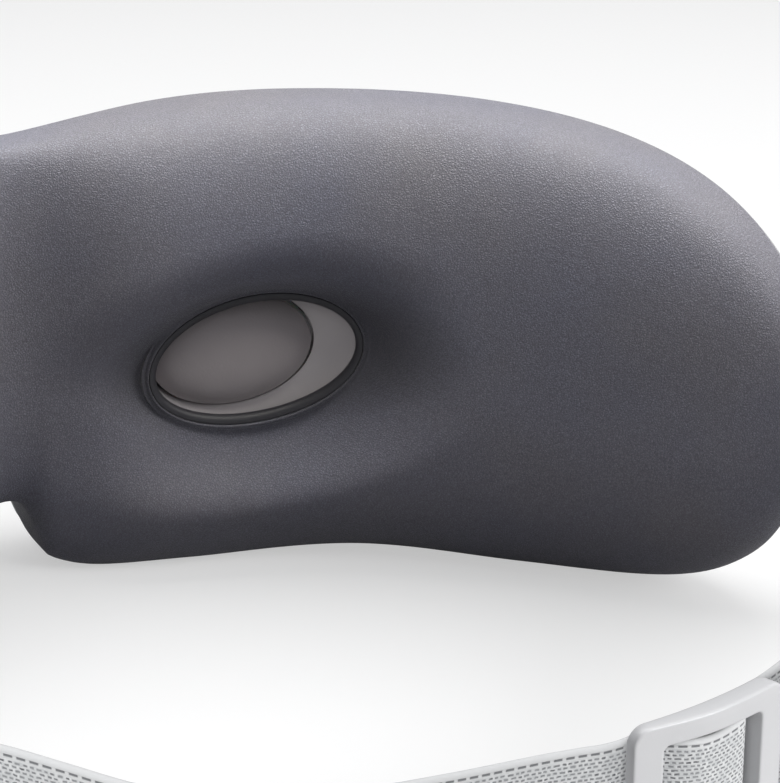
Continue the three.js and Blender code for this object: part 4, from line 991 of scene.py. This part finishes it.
PIVOT = on_mask(np.array(PIVOT_ALONG), 0, TIP_HEIGHT)
BOSS_FACE = float(PIVOT[0]) + BOSS_PROUD
LUG_INNER = BOSS_FACE + CLEARANCE
LUG_OUTER = LUG_INNER + LUG_THICKNESS
SLOT_HALF = STRAP_WIDTH / 2 + CLEARANCE  # of the slots and windows that the strap goes through
LUG_HALF_HEIGHT = SLOT_HALF + LUG_RAIL


def arc(centre, radius, start, end, steps):
    angle = np.linspace(start, end, steps)
    return [(centre[0] + radius * math.cos(a), centre[1] + radius * math.sin(a)) for a in angle]


def curve_between(start, control, end, steps=8):
    return [tuple((1 - t) ** 2 * a + 2 * t * (1 - t) * b + t * t * c for a, b, c in zip(start, control, end))
            for t in np.linspace(0, 1, steps)]


def plate(name, outlines, thickness, round_edge, place, slot, body, replaces):
    """Flat plate with holes and rounded edges, laid out flat and then placed."""
    drawing = bpy.data.curves.new(name, "CURVE")
    drawing.dimensions = "2D"
    drawing.fill_mode = "BOTH"
    drawing.extrude = (thickness / 2 - round_edge) * MM
    drawing.bevel_depth = round_edge * MM
    drawing.bevel_resolution = 3
    drawing.offset = -round_edge * MM
    for line in outlines:
        spline = drawing.splines.new("POLY")
        spline.points.add(len(line) - 1)
        for point, (a, b) in zip(spline.points, line):
            point.co = (a * MM, b * MM, 0, 1)
        spline.use_cyclic_u = True
    drawn = bpy.data.objects.new(name, drawing)
    bpy.context.scene.collection.objects.link(drawn)
    bpy.context.view_layer.update()
    mesh = bpy.data.meshes.new_from_object(drawn.evaluated_get(bpy.context.evaluated_depsgraph_get()))
    points = np.array([v.co for v in mesh.vertices]) / MM
    faces = [tuple(p.vertices) for p in mesh.polygons]
    bpy.data.objects.remove(drawn)
    bpy.data.curves.remove(drawing)
    bpy.data.meshes.remove(mesh)
    thing = make_piece(name, (place(points), faces), slot, body, replaces, sharp=50)
    finish_mesh(thing.data, 50, joined=True)
    return thing


def strap_lug(name, side):
    neck = LUG_REACH - LUG_BAR - LUG_SLOT - LUG_RAIL
    high, corner = LUG_HALF_HEIGHT, LUG_CORNER
    shoulder = [(neck + corner / 2, high), (neck - corner / 2, high), (neck - corner, high - corner * 0.4)]
    paddle = arc((0, 0), LUG_DISC_RADIUS, math.pi / 2, 1.5 * math.pi, 40)
    paddle += curve_between(*((a, -b) for a, b in reversed(shoulder)))
    paddle += arc((LUG_REACH - corner, -high + corner), corner, -math.pi / 2, 0, 10)
    paddle += arc((LUG_REACH - corner, high - corner), corner, 0, math.pi / 2, 10)
    paddle += curve_between(*shoulder)
    end, corner = LUG_REACH - LUG_BAR, LUG_SLOT_CORNER
    left, right, top = end - LUG_SLOT + corner, end - corner, SLOT_HALF - corner
    slot = []
    for turn, centre in enumerate(((right, top), (left, top), (left, -top), (right, -top))):
        slot += arc(centre, corner, turn * math.pi / 2, (turn + 1) * math.pi / 2, 5)
    pin_hole = arc((0, 0), PIN_RADIUS + PIN_FIT, 0, 2 * math.pi * 31 / 32, 32)

    def place(points):
        x = side * (LUG_INNER + LUG_THICKNESS / 2) + points[:, 2]
        return np.stack([x, PIVOT[1] - points[:, 0], PIVOT[2] + points[:, 1]], -1)

    return plate(f"lug_{name}", [paddle, slot, pin_hole], LUG_THICKNESS, 0.45, place, "buckle", "headband",
                 [f"strap_lug_{name}"])


def pivot_parts(name, side):
    """Rivet through a lug and the boss that it is set in."""
    head, rim = LUG_OUTER + CLEARANCE, PIN_HEAD_RADIUS
    end = BOSS_FACE - 2.9
    pin = [(0.2, end), (PIN_RADIUS - 0.3, end), (PIN_RADIUS, end + 0.3), (PIN_RADIUS, head)]
    pin += [(rim - inset, head + rise) for inset, rise in (
        (0.1, 0), (0, 0.15), (0, 0.5), (0.12, 0.8), (0.4, 1.0), (0.9, 1.08), (1.6, 1.1), (2.5, 1.1),
        (2.65, 1.0), (2.75, 0.75), (4.2, 0.7))]
    radius, hole = LUG_DISC_RADIUS, PIN_RADIUS + PIN_FIT
    boss = [(r, BOSS_FACE - drop) for r, drop in (
        (hole, 3.2), (hole, 0.2), (hole + 0.2, 0), (radius - 0.7, 0), (radius - 0.25, 0.15),
        (radius - 0.05, 0.5), (radius, 1.2), (radius + 0.05, 3.6), (radius - 0.5, 4.2), (0.5, 4.2),
        (0.5, 3.2))]
    rivet, socket = (turned([(r, side * d) for r, d in profile], (0, *PIVOT[1:]), 0, steps, closed)
                     for profile, steps, closed in ((pin, 72, False), (boss, 96, True)))
    return (make_piece(f"pivot_{name}", rivet, "buckle", "mask", [f"pivot_pin_{name}"]),
            make_piece(f"pivot_boss_{name}", socket, "shell", "mask"))


# ---- strap

BACK_CENTRE = BACK_RADIUS - BACK_REACH + SHIFT
BUCKLE_HEIGHT = SLOT_HALF + BUCKLE_RAIL
LAYER_GAP = LUG_THICKNESS / 2 + CLEARANCE + STRAP_THICKNESS / 2
LUG_BAR_X = (LUG_INNER + LUG_OUTER) / 2
STRAP_TURN = float(PIVOT[1]) - (LUG_REACH - LUG_BAR) - LUG_THICKNESS / 4
UP = np.array([0, 0, 1.0])
# slack runs from each lug to the bend behind the head, as shares of the way [sideways, back, down]
LEFT_RUN = (
    (0, 0, 0), (0.002, 0.095, 0), (0.025, 0.242, 0.04), (0.103, 0.364, 0.12), (0.214, 0.442, 0.235),
    (0.335, 0.505, 0.355), (0.414, 0.581, 0.445), (0.474, 0.689, 0.5), (0.518, 0.782, 0.556),
    (0.563, 0.874, 0.62), (0.622, 0.94, 0.72), (0.7, 0.962, 0.83), (0.793, 0.958, 0.93), (0.9, 0.972, 0.98),
)
RIGHT_RUN = ((0, 0, 0), (0.004, 0.12, 0.01), (0.105, 0.29, 0.14), (0.28, 0.43, 0.36), (0.535, 0.62, 0.63),
             (0.79, 0.835, 0.87))


def back_place(angle, out, z):
    """Place on the strap's bend behind the head."""
    radius = BACK_RADIUS + out
    return np.array([BACK_X + radius * math.sin(angle), BACK_CENTRE - radius * math.cos(angle), z])


def buckle_place(s, out, z):
    return back_place(math.radians(BUCKLE_ANGLE) + s / BACK_RADIUS, out, z)


def smooth_line(points, per_step):
    """Smooth curve through points, like a bent spring strip."""
    points = [np.asarray(p, float) for p in points]
    points = [2 * points[0] - points[1], *points, 2 * points[-1] - points[-2]]
    line = []
    for a, b, c, d in zip(points, points[1:], points[2:], points[3:]):
        ab, bc, cd = (max(np.linalg.norm(q - p), 1e-4) ** 0.5 for p, q in ((a, b), (b, c), (c, d)))
        start = ((b - a) / ab - (c - a) / (ab + bc) + (c - b) / bc) * bc
        end = ((c - b) / bc - (d - b) / (bc + cd) + (d - c) / cd) * bc
        for t in np.linspace(0, 1, per_step, endpoint=False):
            bow, sway = 3 * (c - b) - 2 * start - end, 2 * (b - c) + start + end
            line.append(b + start * t + bow * t ** 2 + sway * t ** 3)
    line.append(points[-2])
    return line


def side_way(here, there):
    """Direction square to a step of the strap's run, level with the ground."""
    normal = np.array([here[1] - there[1], there[0] - here[0], 0])
    return normal / np.linalg.norm(normal)


def strap_run():
    """Middle line of the strap from the left lug, round behind the head, to the right lug."""
    start = np.array([LUG_BAR_X + LAYER_GAP, STRAP_TURN, TIP_HEIGHT])
    mirrored = start * (-1, 1, 1)
    bend_start, bend_end = (back_place(math.radians(a), 0, BUCKLE_HEIGHT) for a in (BACK_FROM, BACK_TO))
    points = [mirrored + (bend_start - mirrored) * np.array(share) for share in LEFT_RUN]
    for a in range(BACK_FROM, BACK_TO + 1, 2):
        bulge = 0.44 * hump((a + 0.8) / 4.2) - 0.6 * hump((a + 9) / 8)
        points.append(back_place(math.radians(a), bulge, BUCKLE_HEIGHT))
    points += [start + (bend_end - start) * np.array(share) for share in reversed(RIGHT_RUN)]
    return smooth_line(points, 12)


def strap_end(run, side):
    """Turn round the lug bar and the end that is sewn against the inner side of the run."""
    end = []
    for angle in np.linspace(0, np.pi, 20)[1:-1]:
        x = side * (LUG_BAR_X + LAYER_GAP * math.cos(angle))
        end.append(np.array([x, STRAP_TURN + LAYER_GAP * math.sin(angle), TIP_HEIGHT]))
    travelled = 0
    for here, there in zip(run, run[1:]):
        if travelled > STRAP_LAP:
            break
        closed = float(ease(travelled, LAP_RELEASE, LAP_RELEASE + LAP_CLOSING))
        apart = 2 * LAYER_GAP + (STRAP_THICKNESS + CLEARANCE - 2 * LAYER_GAP) * closed
        end.append(here - side * apart * side_way(here, there))
        travelled += np.linalg.norm(there - here)
    return end


def band_profile():
    """A quarter of the band's cross-section as [across, level]: selvedge, stitched groove and flat weave."""
    half, edge, weave = BAND_THICKNESS / 2, STRAP_WIDTH / 2, 0.9
    side = [(0, 0.0), (0.05, 0.35), (0.16, 0.65), (0.32, 0.88), (0.5, 1), (0.62, 0.96), (0.72, 0.8),
            (0.88, 0.78), (1.0, 0.86), (1.2, weave)]
    side += [(edge - across, weave) for across in np.linspace(edge - 2, 0, 9)]
    return [(edge - inset, share * half) for inset, share in side]


def woven_band(name, route, body, replaces, waist=None):
    """Band along a route. waist gives the share of its width at each place, where a pull draws it in."""
    route = np.array(route)
    waist = np.ones(len(route)) if waist is None else waist
    before, after = route[[0, *range(len(route) - 1)]], route[[*range(1, len(route)), -1]]
    steps = np.linalg.norm(np.diff(route, axis=0), axis=1)
    travelled = np.concatenate([[0], np.cumsum(steps)])
    profile = band_profile()
    outer = profile + [(-w, t) for w, t in reversed(profile[:-1])]
    ring = outer + [(w, -t) for w, t in reversed(outer[1:-1])]
    rings, cloth = [], []
    for k, (place, way) in enumerate(zip(route, travelled)):
        across = side_way(before[k], after[k])
        rings.append([place + across * t + UP * w * waist[k] for w, t in ring])
        cloth.append([(way, w) for w, _ in ring])
    band = make_piece(name, ring_body(rings), "strap", body, replaces, sharp=70, cloth=cloth)
    return band


def stitch_row(name, places, directions, body):
    """Row of short threads, each from one hole to the next, lying on the band."""
    thread = ((-0.95, 0.05), (-0.9, 0.12), (-0.7, 0.17), (0, 0.19), (0.7, 0.17), (0.9, 0.12), (0.95, 0.05))
    angle = np.linspace(0, 2 * np.pi, 8, endpoint=False)
    shape = Shape()
    for place, way in zip(places, directions):
        way = way / np.linalg.norm(way)
        side = np.cross(way, UP)
        if np.linalg.norm(side) < 0.1:
            side = np.cross(way, (1, 0, 0))
        side /= np.linalg.norm(side)
        up = np.cross(side, way)
        shape.add(*ring_body([[place + way * t + r * (side * math.cos(a) + up * math.sin(a)) for a in angle]
                              for t, r in thread]))
    return make_piece(name, shape.made(), "strap", body, finish="thread", sharp=80)


def sewn_box(name, run, side):
    """Box of stitches that holds the strap's lapped end, on the outer side."""
    pitch, half_width, proud = 2.1, 11.5, BAND_THICKNESS / 2 * 0.9 + 0.08
    steps = np.diff(run, axis=0)
    travelled = np.concatenate([[0], np.cumsum(np.linalg.norm(steps, axis=1))[:-1]])
    lengthways, crossways = np.arange(16.2, 22.6, pitch), np.arange(1 - half_width, half_width - 0.9, pitch)
    stitches = [(distance, across, False) for distance in lengthways for across in (-half_width, half_width)]
    stitches += [(distance, across, True) for distance in (15.2, 23.4) for across in crossways]
    places, directions = [], []
    for distance, across, upright in stitches:
        k = np.searchsorted(travelled, distance)
        places.append(run[k] + side * side_way(run[k], run[k + 1]) * proud + UP * across)
        directions.append(UP if upright else steps[k])
    stitch_row(f"sewn_box_{name}", places, directions, "headband")


def strap_parts():
    run = strap_run()
    back = list(reversed(run))
    route = list(reversed(strap_end(run, -1))) + run + strap_end(back, 1)
    strap = woven_band("woven_strap", route, "headband", ["head_strap"])
    sewn_box("left", run, 1)
    sewn_box("right", back, -1)
    low = STRAP_THICKNESS + CLEARANCE
    high = STRAP_THICKNESS / 2 + CLEARANCE + CENTRE_BAR_THICKNESS + CLEARANCE + STRAP_THICKNESS / 2
    half, window = BUCKLE_LENGTH / 2 - 1, BUCKLE_LENGTH / 2 - BUCKLE_BAR
    profile = [(2 - half, low), (1 - window, low + 0.15), (-3.6, high - 0.75), (-1.6, high - 0.1),
               (0.6, high + 0.05), (3, high + 0.05), (4.6, high - 0.1), (5.8, high - 0.6),
               (window - 0.8, high - 1.5), (window - 0.65, low + 0.5), (window + 0.9, low), (half, low)]
    flat = smooth_line([(s, out, 0) for s, out in profile], 9)
    waist = [1 - 0.04 * hump((s - 0.3) / 6.2) for s, _, _ in flat]
    route = [buckle_place(s, out, BUCKLE_HEIGHT) for s, out, _ in flat]
    woven_band("turned_strap_end", route, "sliding_buckle", ["strap_bight"],
               waist)
    return strap


# ---- buckle

def rounded_rectangle(half_length, half_height, radius, arc_steps=12, side_steps=14):
    """Outline with points along its sides too, so that two of them match point by point."""
    corners = ((1, 1), (-1, 1), (-1, -1), (1, -1))
    arcs = [arc((x * (half_length - radius), z * (half_height - radius)), radius, i * math.pi / 2,
                (i + 1) * math.pi / 2, arc_steps) for i, (x, z) in enumerate(corners)]
    points = []
    for corner, following in zip(arcs, arcs[1:] + arcs[:1]):
        points += corner
        points += [tuple(a + (b - a) * k / side_steps for a, b in zip(corner[-1], following[0]))
                   for k in range(1, side_steps)]
    return points


def slide_buckle():
    """Buckle frame with a centre bar on two carriers."""
    back = STRAP_THICKNESS + CLEARANCE + STRAP_THICKNESS / 2 + CLEARANCE
    outside = rounded_rectangle(BUCKLE_LENGTH / 2, BUCKLE_HEIGHT, BUCKLE_CORNER)
    window = rounded_rectangle(BUCKLE_LENGTH / 2 - BUCKLE_BAR, SLOT_HALF, WINDOW_CORNER)
    # [share of the way from window to outside, distance from the back face]
    front = BUCKLE_THICKNESS
    profile = [
        (0, 0.25), (0, front - 0.3), (0.012, front - 0.14), (0.035, front - 0.05), (0.07, front - 0.01),
        (0.12, front), (0.5, front), (0.88, front), (0.92, front - 0.02), (0.95, front - 0.07),
        (0.976, front - 0.16), (0.992, front - 0.29), (1, front - 0.48), (1, 0.35), (0.985, 0.12), (0.95, 0),
        (0.07, 0)]
    rings = []
    for (s, z), (ws, wz) in zip(outside, window):
        ring = []
        for share, level in profile:
            along = ws + (s - ws) * share
            thin = 1 - float(ease(along, -BUCKLE_LENGTH / 2, 1))
            lift = level * (1 - BUCKLE_TAPER / BUCKLE_THICKNESS * thin)
            ring.append(buckle_place(along + 0.45 * thin, back + lift, BUCKLE_HEIGHT + wz + (z - wz) * share))
        rings.append(ring)
    shape = Shape()
    shape.add(*ring_body(rings, closed=True))
    bar_back = STRAP_THICKNESS / 2 + CLEARANCE
    # cross-section of the bar as [share of its half length, level]
    section = [(0.9, 0), (1, 0.15), (1, 1.5), (0.93, 1.85), (0.75, 2.1), (0.5, CENTRE_BAR_THICKNESS)]
    section = [(-share, level) for share, level in section] + section[::-1]
    carrier = back + BUCKLE_THICKNESS - 0.8 - bar_back
    for low, high, tall in ((-SLOT_HALF - 0.5, SLOT_HALF + 0.5, CENTRE_BAR_THICKNESS),
                            (-SLOT_HALF - CARRIER_HEIGHT, -SLOT_HALF, carrier),
                            (SLOT_HALF, SLOT_HALF + CARRIER_HEIGHT, carrier)):
        shape.add(*ring_body([[buckle_place(CENTRE_BAR_AT + share * CENTRE_BAR / 2,
                                            bar_back + level * tall / CENTRE_BAR_THICKNESS, BUCKLE_HEIGHT + z)
                               for share, level in section] for z in np.linspace(low, high, 9)]))
    make_piece("slide_buckle", shape.made(), "buckle", "sliding_buckle", ["buckle"], sharp=45)


# ---- assembly

add_camera()
lamps = {name: add_softbox(f"{name}_softbox", *values) for name, values in SOFTBOXES.items()}
add_world()

slot_of = {row["node"]: row["material_slot"] for row in frame["record"]["subparts"]}
for node_name, node in frame["nodes"].items():
    node.data.materials.clear()
    node.data.materials.append(FINISHES[slot_of[node_name]])

cushion = leather_cushion()
soft_side, bowls, hard_side = [cushion], [], []
for side_name, side_sign in SIDES:
    soft_side += [eye_rim(side_name, side_sign), eye_pad(side_name, side_sign)]
    bowls.append(eye_bowl(side_name, side_sign))
    hard_side += [strap_lug(side_name, side_sign), *pivot_parts(side_name, side_sign)]
hard_side += [front_shell(), *button_parts()]
strap = strap_parts()
slide_buckle()
flag_lamp(lamps["front"], "EXCLUDE", [*soft_side, strap])
flag_lamp(lamps["left"], "INCLUDE", [*bowls, strap])
flag_lamp(lamps["side"], "INCLUDE", soft_side + bowls)
flag_lamp(lamps["top"], "INCLUDE", soft_side + bowls)
flag_lamp(lamps["rear"], "INCLUDE", hard_side)
add_floor()
